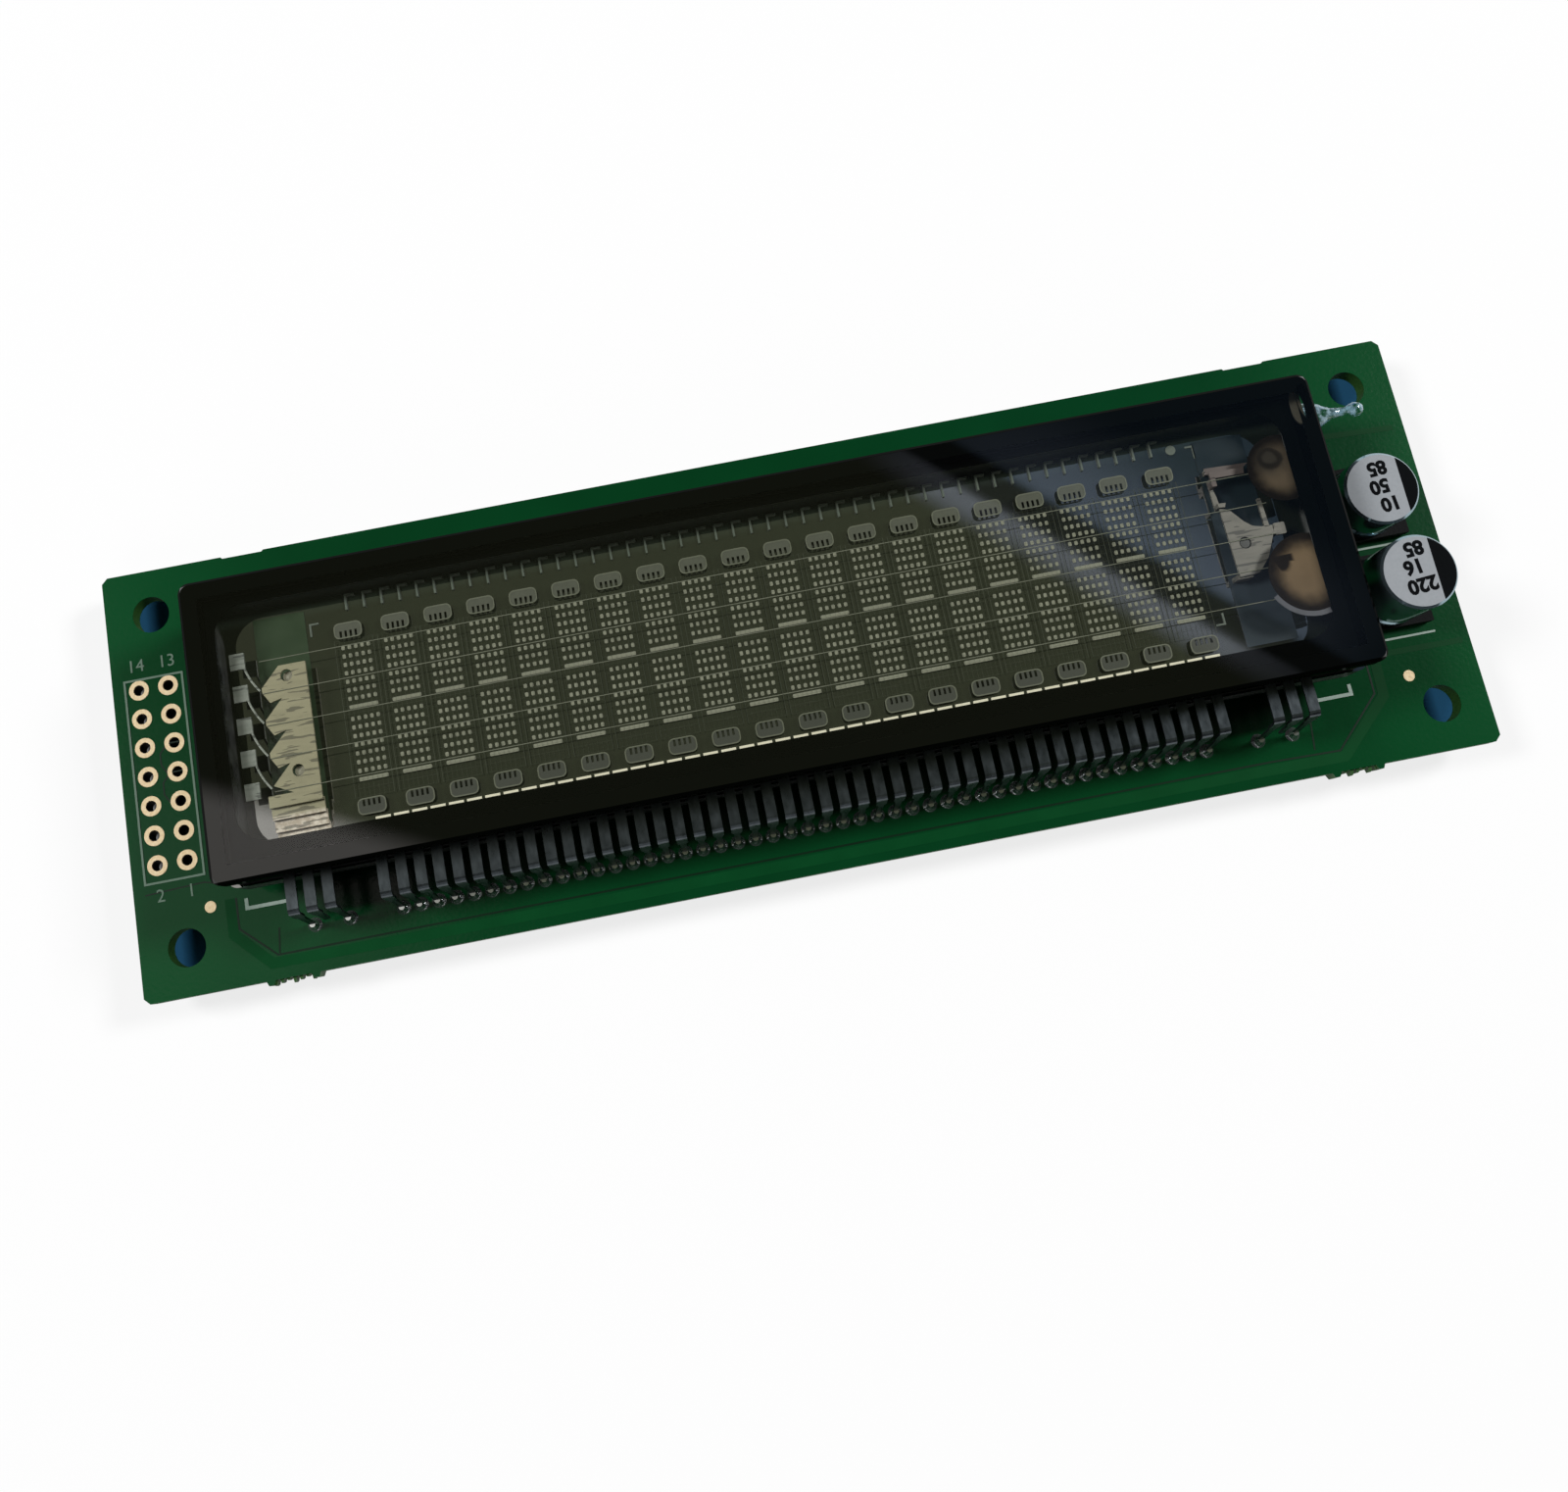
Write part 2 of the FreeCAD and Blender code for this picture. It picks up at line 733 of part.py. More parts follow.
def support_outline():
    """Outline of the toothed plate: a straight right edge and one hook for each spring."""
    right, root, tip = size("support_right"), size("support_root"), size("support_tip")
    top, pitch = size("support_top"), size("wire_pitch")
    points = [(right, size("support_bottom")), (right, top)]
    for tooth in range(SIZES["wire_count"] - 1):
        crest = top - tooth * pitch
        points.append((root, crest))
        points.append((tip, crest - pitch * HOOK_START))
        points.append((tip, crest - pitch * HOOK_END))
        points.append((tip + size("support_hook"), crest - pitch - size("support_thick")))
    last_crest = top - (SIZES["wire_count"] - 2) * pitch
    return points[:-3] + [(tip, last_crest - pitch * HOOK_START), (root, size("support_bottom"))]


def make_left_support():
    """Toothed nickel plate that the springs pull on, and its foot folded in steps."""
    body = new_body("filament_support", tube_left, tube_y, support_height)
    outline = new_sketch(body)
    draw_polygon(outline, support_outline())
    pad(body, outline, size("support_thick"))
    holes = new_sketch(body)
    for y in (size("support_top") - size("support_hole_drop"), size("support_bottom") + size("support_hole_rise")):
        draw_circle(holes, size("support_hole_x"), y, size("support_hole"))
    pocket(body, holes, size("support_thick"), upward=True)

    width = size("support_right") - size("support_foot_left")
    foot = new_sketch(body, "YZ_Plane", size("support_right") - width / 2)
    thick, step, steps = size("support_thick"), size("support_step"), SIZES["support_steps"]
    fall = (support_height - plate_face) / steps
    upper = [(size("support_bottom"), thick)]
    lower = [(size("support_bottom"), zero)]
    for index in range(steps):
        y = size("support_bottom") - (index + 1) * step
        upper += [(y, thick - index * fall), (y, thick - (index + 1) * fall)]
        lower += [(y + thick, -index * fall), (y + thick, -(index + 1) * fall)]
    end = size("support_bottom") - (steps + 1) * step
    upper.append((end, thick - steps * fall))
    lower.append((end, -steps * fall))
    draw_polygon(foot, upper + lower[::-1])
    pad(body, foot, width, midplane=True)


def make_springs():
    """Tabs that grip the filament ends and the curved strips that keep them taut."""
    pieces = []
    for index in range(SIZES["wire_count"]):
        y = tube_y - size("wire_drop") + wire_row / 2 - index * size("wire_pitch") + size("anchor_drop")
        start_x = tube_left + size("anchor_right")
        tab = block(f"anchor_tab_{index}", start_x - size("anchor_length") / 2, y,
                    support_height, size("anchor_length"), size("anchor_width"), size("support_thick"))
        pieces.append(tab)
        if index == SIZES["wire_count"] - 1:
            break
        start_y = y - size("anchor_width") / 2
        sectors = []
        for name, radius in (("outer", size("spring_radius") + size("spring_width")),
                             ("inner", size("spring_radius"))):
            sector = drum(f"spring_{name}_{index}", start_x + size("spring_radius") * SPRING_X,
                          start_y + size("spring_radius") * SPRING_Y, support_height, 2 * radius,
                          size("support_thick"))
            sector.setExpression("Angle", formula(size("spring_sweep_angle")))
            sector.Placement.Rotation = FreeCAD.Rotation(FreeCAD.Vector(0, 0, 1), SIZES["spring_start_angle"])
            sectors.append(sector)
        strip = doc.addObject("Part::Cut", f"spring_strip_{index}")
        strip.Base, strip.Tool = sectors
        pieces.append(strip)
    group("filament_springs", pieces)


def make_plates():
    """Thin metal plates on the substrate under both filament ends."""
    low, high = size("base_plate_bottom"), size("base_plate_top")
    length = size("base_plate_length")
    pieces = []
    for name, x in (("left", tube_left + size("support_right") - length / 2),
                    ("right", tube_right + size("carrier_left") + length / 2)):
        pieces.append(block(f"{name}_plate", x, tube_y + (low + high) / 2, substrate_face, length, high - low,
                            size("print_thick")))
    group("base_plates", pieces)


def make_carrier():
    """Fixed nickel plate at the right end: a window above, a sloped corner and two posts."""
    left, right = size("carrier_left"), size("carrier_right")
    low, high = size("carrier_bottom"), size("carrier_top")
    rail, thick = size("carrier_rail"), size("support_thick")
    body = new_body("filament_carrier", tube_right, tube_y, support_height)
    outline = new_sketch(body)
    draw_polygon(outline, [(left, low), (right - size("carrier_cut_x"), low), (right, low + size("carrier_cut_y")),
                           (right, high), (left, high)])
    pad(body, outline, thick)
    window = new_sketch(body)
    draw_rectangle(window, (left + right) / 2, high - rail - size("carrier_window") / 2,
                   right - left - 2 * rail, size("carrier_window"))
    pocket(body, window, thick, upward=True)
    hole = new_sketch(body)
    draw_circle(hole, left + 2 * rail, (high - rail - size("carrier_window") + low) / 2, size("support_hole"))
    pocket(body, hole, thick, upward=True)
    posts = new_sketch(body, "XY_Plane", plate_face - support_height)
    for y in (low + size("carrier_post") / 2, high - size("carrier_post") / 2):
        draw_rectangle(posts, left + rail, y, 2 * size("carrier_post"), size("carrier_post"))
    pad(body, posts, support_height - plate_face)


def make_getters():
    """Getter holders on the substrate and the mirrors that they flashed on the glass above."""
    mirrors = []
    holders = []
    for which in ("upper", "lower"):
        x, y = tube_right + size(f"{which}_mirror_x"), tube_y + size(f"{which}_mirror_y")
        diameter = size(f"{which}_mirror_size")
        height = size("mirror_thick")
        film = drum(f"{which}_film", x, y, cavity_roof - height, diameter, height)
        reach = x - diameter / 2
        limit = tube_right + size("mirror_limit")
        cut = block(f"{which}_film_limit", (reach + limit) / 2, y, cavity_roof - height, limit - reach, diameter,
                    height)
        mirror = doc.addObject("Part::Common", f"{which}_mirror")
        mirror.Base = film
        mirror.Tool = cut
        mirrors.append(mirror)
        holder_x = tube_right - wall_depth - size("holder_margin") - size("holder_length") / 2
        holders.append(block(f"{which}_holder", holder_x, y, substrate_face, size("holder_length"),
                             size("holder_width"), size("holder_height")))
    group("getter_mirrors", mirrors)
    group("getter_holders", holders)


def lead_profile(foot):
    """Side view of a lead, from the seal out, and down with a slight lean to its foot."""
    thick = size("lead_thick")
    top = substrate_face + (size("seal_thick") + thick) / 2
    start = size("tube_width") / 2 - size("wall_inset")
    outer = size("tube_width") / 2 + size("lead_reach")
    inner = outer - thick
    lean = size("lead_lean") * (top - foot) / top
    points = [(start, top - thick), (start, top), (outer, top), (outer + lean, foot), (inner + lean, foot),
              (inner, top - thick)]
    return [(-out, up) for out, up in points]


def add_leads(body, foot, pitch=None, count=None):
    """One bent blade, or a row of them."""
    sketch = new_sketch(body, "YZ_Plane")
    draw_polygon(sketch, lead_profile(foot))
    blade = pad(body, sketch, size("lead_width"), midplane=True)
    if count is not None:
        repeat(body, blade, "X_Axis", pitch, count)


def make_leads():
    """Signal leads along the lower long side, and three filament leads at each end of the row."""
    body = new_body("signal_leads", first_lead_x, tube_y)
    add_leads(body, zero, lead_pitch, size("lead_count"))
    for end, direction in (("left", -1), ("right", 1)):
        middle = display_x + direction * size("end_lead_pitches") * lead_pitch
        blades = []
        for step, foot in ((-1, zero), (0, size("short_lead_foot")), (1, zero)):
            blade = doc.addObject("PartDesign::Body", f"blade_{end}_{step + 1}")
            place(blade, middle + step * lead_pitch, tube_y)
            add_leads(blade, foot)
            blades.append(blade)
        group(f"filament_leads_{end}", blades)


def make_capacitor(which):
    """A chip electrolytic: can, base and its two flat pins."""
    x, y = cap_x(which), size(f"{which}_cap_y")
    base = new_body(f"{which}_capacitor_base", x, y, size("cap_pin_thick"))
    outline = new_sketch(base)
    half = size("cap_base") / 2
    cut = size("cap_base_cut")
    points = [(half, -half), (half, half), (cut - half, half), (-half, half - cut), (-half, cut - half),
              (cut - half, -half)]
    draw_polygon(outline, points)
    pad(base, outline, size("cap_base_height"))

    seat = size("cap_pin_thick") + size("cap_base_height")
    can = new_body(f"{which}_capacitor_can", x, y, seat)
    profile = new_sketch(can, "XZ_Plane")
    radius = size("can_size") / 2
    height = size(f"{which}_cap_height") - seat
    groove, half_groove = size("can_groove_height"), size("can_groove_width") / 2
    bevel = size("can_bevel")
    points = [(zero, zero), (radius, zero), (radius, groove - half_groove),
              (radius - size("can_groove_depth"), groove), (radius, groove + half_groove),
              (radius, height - bevel), (radius - bevel, height), (zero, height)]
    draw_polygon(profile, points)
    turn(can, profile, "Z_Axis")

    pin_length = size("cap_base") / 2 + size("cap_pin_stickout") - size("cap_pin_width")
    pins = []
    for side in (-1, 1):
        pins.append(block(f"{which}_pin_{side + 1}", x + side * (size("cap_pin_width") + pin_length / 2), y,
                          zero, pin_length, size("cap_pin_width"), size("cap_pin_thick")))
    group(f"{which}_capacitor_pins", pins)


def make_chip_body(name, x, y, length, width, height):
    """Moulded package with drafted sides, hung under the board."""
    thick = height - size("chip_standoff")
    body = new_body(name, x, y, rear_face - size("chip_standoff") - thick / 2)
    outline = new_sketch(body)
    draw_rectangle(outline, zero, zero, length, width)
    package = pad(body, outline, thick / 2)
    package.SideType = "Two sides"
    package.setExpression("Length2", formula(thick / 2))
    package.setExpression("TaperAngle", formula(-size("chip_draft_angle")))
    package.setExpression("TaperAngle2", formula(-size("chip_draft_angle")))


def pin_profile(start, height, direction):
    """Side view of a chip's pin, from the package out and up to its flat foot."""
    thick = size("pin_thick")
    middle = -(height + size("chip_standoff")) / 2
    end = start + size("pin_run")
    points = [(start, middle), (end, -thick), (end, zero), (end - size("pin_foot"), zero), (start, middle + thick)]
    return [(direction * out, up) for out, up in points]


def make_pin_row(body, height, start, direction, plane, pitch, count, width):
    """One side's pins of a chip."""
    half_row = (count - 1) * pitch / 2
    lift = -half_row if plane == "YZ_Plane" else half_row
    sketch = new_sketch(body, plane, lift)
    draw_polygon(sketch, pin_profile(start, height, direction))
    pin = pad(body, sketch, width, midplane=True)
    repeat(body, pin, "X_Axis" if plane == "YZ_Plane" else "Y_Axis", pitch, count)


def make_chips():
    """Driver chip with pins on four sides and a smaller chip with pins on two."""
    driver_height = size("rear_height")
    make_chip_body("driver_chip", DRIVER_PLACE * board_length, tube_y, size("driver_length"), size("driver_width"),
                   driver_height)
    body = new_body("driver_pins", DRIVER_PLACE * board_length, tube_y, rear_face)
    for direction in (-1, 1):
        make_pin_row(body, driver_height, size("driver_width") / 2, direction, "YZ_Plane",
                     size("driver_pin_pitch"), size("driver_pins_long"), size("driver_pin_width"))
        make_pin_row(body, driver_height, size("driver_length") / 2, direction, "XZ_Plane",
                     size("driver_pin_pitch"), size("driver_pins_short"), size("driver_pin_width"))

    memory_height = size("memory_height")
    make_chip_body("memory_chip", MEMORY_PLACE * board_length, tube_y, size("memory_length"), size("memory_width"),
                   memory_height)
    body = new_body("memory_pins", MEMORY_PLACE * board_length, tube_y, rear_face)
    for direction in (-1, 1):
        make_pin_row(body, memory_height, size("memory_width") / 2, direction, "YZ_Plane",
                     size("memory_pin_pitch"), size("memory_pins"), size("memory_pin_width"))


def make_coil():
    """Shielded coil of the voltage converter: ferrite frame, drum core and two end pins."""
    x, y = COIL_PLACE * board_length, tube_y
    height = size("rear_height") - size("coil_pin_thick")
    bottom = rear_face - size("rear_height")
    frame = new_body("coil_shield", x, y, bottom)
    outline = new_sketch(frame)
    draw_rectangle(outline, zero, zero, size("coil_length"), size("coil_length"))
    slab = pad(frame, outline, height)
    doc.recompute()
    cut = bevel_edges(frame, slab, upright_edges(slab.Shape, lambda x, y: True), size("coil_corner"))
    doc.recompute()
    bore = new_sketch(frame)
    draw_circle(bore, zero, zero, size("coil_bore"))
    pocket(frame, bore)
    core = drum("coil_core", x, y, bottom, size("coil_bore") - 2 * size("coil_gap"), height)
    core.Label = "coil_core"
    subparts.append(core)
    pins = []
    reach = (size("coil_length") - size("coil_pin_length")) / 2
    for side in (-1, 1):
        pins.append(block(f"coil_pin_{side + 1}", x + side * reach, y, rear_face - size("coil_pin_thick"),
                          size("coil_pin_length"), size("coil_pin_length"), size("coil_pin_thick")))
    group("coil_pins", pins)


def make_small_parts():
    """Resonator, diodes, ceramic capacitors and resistors on the rear."""
    boxes_at("ceramic_resonator", RESONATOR_PLACES, size("resonator_length"), size("resonator_width"),
             size("resonator_height"))
    boxes_at("rectifier_diodes", DIODE_PLACES, size("diode_length"), size("diode_width"), size("diode_height"))
    boxes_at("ceramic_capacitors", CERAMIC_PLACES, size("ceramic_length"), size("ceramic_width"),
             size("ceramic_height"))
    boxes_at("chip_resistors", RESISTOR_PLACES, size("resistor_length"), size("resistor_width"),
             size("resistor_height"))


def check_document():
    """Stops if an object failed or a sub-part has no sound shape."""
    for item in doc.Objects:
        if "Invalid" in item.State or "Error" in item.State:
            raise RuntimeError(f"{item.Label} failed: {item.State}")
    for piece in subparts:
        if piece.Shape.isNull() or not piece.Shape.isValid():
            raise RuntimeError(f"{piece.Label} has no sound shape")


make_board()
make_foam()
make_substrate()
make_print()
make_ring("glass_seal", substrate_face, size("seal_thick"))
make_ring("glass_walls", cover_base, cavity_roof - cover_base)
make_cover()
make_border()
make_tip()
make_phosphor()
make_grids()
make_filaments()
make_left_support()
make_springs()
make_plates()
make_carrier()
make_getters()
make_leads()
make_capacitor("large")
make_capacitor("small")
make_chips()
make_coil()
make_small_parts()
doc.recompute()
check_document()
os.makedirs("parts", exist_ok=True)
for piece in subparts:
    piece.Shape.exportStep(f"parts/{piece.Label}.step")
    solids = piece.Shape.Solids
    print(piece.Label, len(solids), "solids", round(sum(solid.Volume for solid in solids), 3), "mm3")
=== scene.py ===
# %% [markdown]
# # A vacuum fluorescent display module
#
# The module is a flat glass tube over a green circuit board. Behind the front glass lie printed
# dots, etched metal grids and five heater wires. The CAD model gives the board, the glass and the
# larger metal parts their exact shapes. This script loads it, adds the fine parts in mesh code and
# gives every surface its material. Sizes are in millimetres until a mesh is made in metres.

# %% Load the model
import math
import bpy
from mathutils import Matrix, Vector


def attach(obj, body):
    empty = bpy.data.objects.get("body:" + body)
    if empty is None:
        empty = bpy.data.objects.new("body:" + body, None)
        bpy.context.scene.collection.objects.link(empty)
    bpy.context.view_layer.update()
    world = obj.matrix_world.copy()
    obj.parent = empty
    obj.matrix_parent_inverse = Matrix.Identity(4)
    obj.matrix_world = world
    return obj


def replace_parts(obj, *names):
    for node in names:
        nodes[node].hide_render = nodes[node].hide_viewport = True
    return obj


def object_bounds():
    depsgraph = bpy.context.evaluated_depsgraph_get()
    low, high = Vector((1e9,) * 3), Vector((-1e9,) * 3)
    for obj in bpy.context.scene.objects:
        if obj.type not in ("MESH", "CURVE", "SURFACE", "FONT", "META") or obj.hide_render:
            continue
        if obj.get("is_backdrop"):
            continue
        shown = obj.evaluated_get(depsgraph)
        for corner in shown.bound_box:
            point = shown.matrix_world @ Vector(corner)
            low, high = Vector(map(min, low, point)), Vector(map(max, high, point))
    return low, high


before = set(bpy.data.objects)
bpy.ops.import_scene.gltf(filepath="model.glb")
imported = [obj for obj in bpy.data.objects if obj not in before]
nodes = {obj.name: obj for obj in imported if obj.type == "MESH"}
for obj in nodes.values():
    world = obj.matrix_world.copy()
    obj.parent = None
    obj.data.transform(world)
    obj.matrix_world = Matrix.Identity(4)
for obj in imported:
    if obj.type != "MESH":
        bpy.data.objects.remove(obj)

cad_box = [list(corner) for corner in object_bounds()]
MM = 0.001
print("nodes:", len(nodes), "box in mm:", [[round(v / MM, 1) for v in corner] for corner in cad_box])

# %% [markdown]
# ## Shapes
#
# Real parts like these are punched, bent, drawn or printed. Each becomes a loft: outlines of the
# same number of points, joined one after another. A flat plate is a loft of two outlines, a
# turned part a loft of circles, and a bent lead a loft of small rectangles along its path.

# %% A mesh that grows piece by piece
MITRE_LIMIT = 0.3


class Shape:
    """A mesh under construction, in millimetres."""

    def __init__(self):
        self.points = []
        self.faces = []

    def loft(self, rings, closed=False):
        """Joins outlines with the same number of points, and fills both ends unless closed."""
        numbers = []
        for ring in rings:
            start = len(self.points)
            self.points += ring
            numbers.append(list(range(start, start + len(ring))))
        pairs = list(zip(numbers, numbers[1:]))
        if closed:
            pairs.append((numbers[-1], numbers[0]))
        else:
            self.faces += [numbers[0][::-1], numbers[-1]]
        for one, two in pairs:
            for a in range(len(one)):
                b = (a + 1) % len(one)
                self.faces.append((one[a], one[b], two[b], two[a]))

    def plate(self, outline, low, high):
        """A flat plate between two heights."""
        self.loft([[(x, y, z) for x, y in outline] for z in (low, high)])

    def hollow_plate(self, outer, inner, low, high):
        """A flat plate with one opening; both outlines have the same number of points."""
        self.loft([[(x, y, z) for x, y in outline] for outline, z in
                   ((outer, low), (outer, high), (inner, high), (inner, low))], closed=True)

    def turned(self, profile, center, axis="z", sides=24, closed=False):
        """Turns (radius, height) pairs about an axis through the centre."""
        rings = []
        for radius, height in profile:
            ring = []
            for step in range(sides):
                angle = 2 * math.pi * step / sides
                a, b = radius * math.cos(angle), radius * math.sin(angle)
                offset = (a, b, height) if axis == "z" else (height, a, b)
                ring.append(tuple(c + o for c, o in zip(center, offset)))
            rings.append(ring)
        self.loft(rings, closed)

    def ribbon(self, path, width, low, high):
        """A flat band of even width along a path of (x, y) points, with mitred corners."""
        rings = []
        for index, point in enumerate(path):
            spot = Vector(point)
            before = (spot - Vector(path[index - 1])).normalized() if index else None
            after = (Vector(path[index + 1]) - spot).normalized() if index + 1 < len(path) else None
            along = ((before or after) + (after or before)).normalized()
            across = Vector((-along.y, along.x))
            stretch = 1 / max(along.dot(after or before), MITRE_LIMIT)
            a, b = spot + across * width / 2 * stretch, spot - across * width / 2 * stretch
            rings.append([(a.x, a.y, low), (b.x, b.y, low), (b.x, b.y, high), (a.x, a.y, high)])
        self.loft(rings)

    def strip(self, path, half_widths, thickness):
        """A flat strip, level along x, that follows a path of (x, y, z) points."""
        rings = []
        for index, (x, y, z) in enumerate(path):
            before = Vector(path[max(index - 1, 0)])
            after = Vector(path[min(index + 1, len(path) - 1)])
            along = (after - before).normalized()
            normal = along.cross(Vector((1, 0, 0))).normalized() * thickness / 2
            half = Vector((half_widths[index], 0, 0))
            spot = Vector((x, y, z))
            rings.append([tuple(spot + half + normal), tuple(spot - half + normal),
                          tuple(spot - half - normal), tuple(spot + half - normal)])
        self.loft(rings)

    def make(self, name, finish, slot, smooth=False):
        """The finished piece, riding on the root body."""
        mesh = bpy.data.meshes.new(name)
        mesh.from_pydata([tuple(v * MM for v in point) for point in self.points], [], self.faces)
        mesh.validate()
        mesh.materials.append(finish.material)
        piece = bpy.data.objects.new(name, mesh)
        bpy.context.scene.collection.objects.link(piece)
        fix_normals(mesh)
        if smooth:
            smooth_shade(piece)
        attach(piece, "root")
        print(f"{name}: {len(mesh.vertices)} points, {len(mesh.polygons)} faces")
        return piece


def fix_normals(mesh):
    """Turns every face outwards."""
    import bmesh
    work = bmesh.new()
    work.from_mesh(mesh)
    bmesh.ops.recalc_face_normals(work, faces=work.faces)
    work.to_mesh(mesh)
    work.free()


def smooth_shade(piece, angle=40):
    """Smooth shading that keeps edges sharper than the angle."""
    for polygon in piece.data.polygons:
        polygon.use_smooth = True
    piece.data.set_sharp_from_angle(angle=math.radians(angle))


# %% [markdown]
# Outlines are lists of (x, y) points, counted against the clock. To cut a round hole in a plate of
# any shape, `around` finds where rays from the hole's centre meet the outline. The two outlines
# then have the same number of points, and `hollow_plate` can join them.

# %% Outlines
PARALLEL = 1e-9


def rectangle(x, y, length, width):
    """Corners of a rectangle about a centre."""
    a, b = length / 2, width / 2
    return [(x - a, y - b), (x + a, y - b), (x + a, y + b), (x - a, y + b)]


def rounded(x, y, length, width, radius, steps=4):
    """A rectangle with round corners."""
    points = []
    for turn, (sx, sy) in enumerate(((1, -1), (1, 1), (-1, 1), (-1, -1))):
        cx, cy = x + sx * (length / 2 - radius), y + sy * (width / 2 - radius)
        for step in range(steps + 1):
            angle = math.radians(90 * (turn - 1) + 90 * step / steps)
            points.append((cx + radius * math.cos(angle), cy + radius * math.sin(angle)))
    return points


def circle(x, y, radius, sides=24):
    """Points of a circle."""
    turns = [2 * math.pi * side / sides for side in range(sides)]
    return [(x + radius * math.cos(turn), y + radius * math.sin(turn)) for turn in turns]


def around(outline, x, y, sides=32):
    """The outline resampled where rays from a centre meet it, to go with a circle there."""
    centre = Vector((x, y))
    points = []
    for step in range(sides):
        angle = 2 * math.pi * step / sides
        ray = Vector((math.cos(angle), math.sin(angle)))
        best = 0.0
        for a, b in zip(outline, outline[1:] + outline[:1]):
            start, side = Vector(a) - centre, Vector(b) - Vector(a)
            slant = ray.x * side.y - ray.y * side.x
            if abs(slant) > PARALLEL:
                along = (start.x * side.y - start.y * side.x) / slant
                share = (start.x * ray.y - start.y * ray.x) / slant
                if 0 <= share <= 1:
                    best = max(best, along)
        points.append(tuple(centre + ray * best))
    return points


# %% [markdown]
# ## Materials
#
# Shader maths reads best as arithmetic. The small class below wraps one socket of a node, so that
# `noise * 0.2 + 0.4` adds two Math nodes. Everything is drawn from the object's own coordinates in
# millimetres, so that a scratch or a speck has its real size.

# %% Arithmetic on shader sockets
class Signal:
    """A node's output socket that Python can calculate with."""

    def __init__(self, tree, socket):
        self.tree, self.socket = tree, socket

    def is_value(self):
        return self.socket.type == "VALUE"

    def calculate(self, operation, *others, reverse=False):
        """Adds a Math node for values, or a Vector Math node for colours and vectors."""
        plain = self.is_value() and all(not isinstance(o, Signal) or o.is_value() for o in others)
        terms = [*others, self] if reverse else [self, *others]
        return add_node(self.tree, "ShaderNodeMath" if plain else "ShaderNodeVectorMath",
                        {"operation": operation}, dict(enumerate(terms)))

    def __add__(self, other):
        return self.calculate("ADD", other)

    def __sub__(self, other):
        return self.calculate("SUBTRACT", other)

    def __rsub__(self, other):
        return self.calculate("SUBTRACT", other, reverse=True)

    def __mul__(self, other):
        return self.calculate("MULTIPLY", other)

    def __truediv__(self, other):
        return self.calculate("DIVIDE", other)

    def __pow__(self, other):
        return self.calculate("POWER", other)

    __radd__, __rmul__ = __add__, __mul__

    def size(self):
        return self.calculate("ABSOLUTE")

    def above(self, limit):
        return self.calculate("GREATER_THAN", limit)

    def smaller(self, other):
        return self.calculate("MINIMUM", other)

    def larger(self, other):
        return self.calculate("MAXIMUM", other)

    def ramp(self, low, high):
        """0 below the first value, 1 above the second, smooth between."""
        return add_node(self.tree, "ShaderNodeMapRange", {"interpolation_type": "SMOOTHSTEP"},
                        {"Value": self, "From Min": low, "From Max": high})

    def blend(self, first, second):
        """The first colour where this is 0, the second where it is 1."""
        return add_node(self.tree, "ShaderNodeMix", {"data_type": "RGBA"},
                        {0: self, 6: first, 7: second}, out=2)


def connect(tree, value, socket):
    """Links a Signal, or sets a number or colour on the socket."""
    if isinstance(value, Signal):
        tree.links.new(value.socket, socket)
    elif socket.type == "RGBA":
        socket.default_value = (*value, 1)
    elif socket.type == "VECTOR" and not isinstance(value, (tuple, list)):
        socket.default_value = (value, value, value)
    else:
        socket.default_value = value


def add_node(tree, kind, settings, inputs, out=0):
    """Adds a node: its type, its settings, then values or links for its sockets."""
    node = tree.nodes.new(kind)
    for key, value in settings.items():
        setattr(node, key, value)
    for key, value in inputs.items():
        connect(tree, value, node.inputs[key])
    return Signal(tree, node.outputs[out])


# %% One material
class Finish:
    """A material and the signals that drive it."""

    def __init__(self, name):
        self.material = bpy.data.materials.new(name)
        self.material.use_nodes = True
        self.tree = self.material.node_tree
        self.shader = self.tree.nodes["Principled BSDF"]
        self.place = self.node("ShaderNodeTexCoord", out="Object") * (1 / MM)
        self.x, self.y, self.z = (self.node("ShaderNodeSeparateXYZ", out=axis, Vector=self.place)
                                  for axis in "XYZ")

    def node(self, kind, out=0, **inputs):
        """Adds a node that needs no settings, with its sockets by name."""
        named = {key.replace("_", " "): value for key, value in inputs.items()}
        return add_node(self.tree, kind, {}, named, out)

    def noise(self, grain, detail=3.0, stretch=(1, 1, 1)):
        """Noise with features of about this many millimetres."""
        scaled = self.place * tuple(s / grain for s in stretch)
        return self.node("ShaderNodeTexNoise", Vector=scaled, Scale=1.0, Detail=detail)

    def set(self, **inputs):
        """Sets or links sockets of the main shader."""
        for key, value in inputs.items():
            connect(self.tree, value, self.shader.inputs[key.replace("_", " ")])
        return self

    def bump(self, height, distance):
        """Raises the surface by the height times this many millimetres."""
        normal = self.node("ShaderNodeBump", Height=height, Distance=distance * MM, Strength=1.0)
        return self.set(Normal=normal)

    def mix(self, factor, first, second):
        """The first shader where the factor is 0, the second where it is 1."""
        return add_node(self.tree, "ShaderNodeMixShader", {}, {0: factor, 1: first, 2: second})

    def show(self, shader):
        """Puts this shader on the surface in place of the main one."""
        self.tree.links.new(shader.socket, self.tree.nodes["Material Output"].inputs["Surface"])


# %% [markdown]
# Colours are written as they look on a screen, from 0 to 255. Shaders add up light, so the curve
# for screens turns them into linear values. Most parts need only two close tones in a grain, which
# may also roughen and raise the surface a little, so one function makes their finishes.

# %% Colours and plain finishes
def rgb(*screen):
    """A screen colour as the linear colour that shaders use."""
    return tuple(((c / 255 + 0.055) / 1.055) ** 2.4 if c > 10 else c / 255 / 12.92 for c in screen)


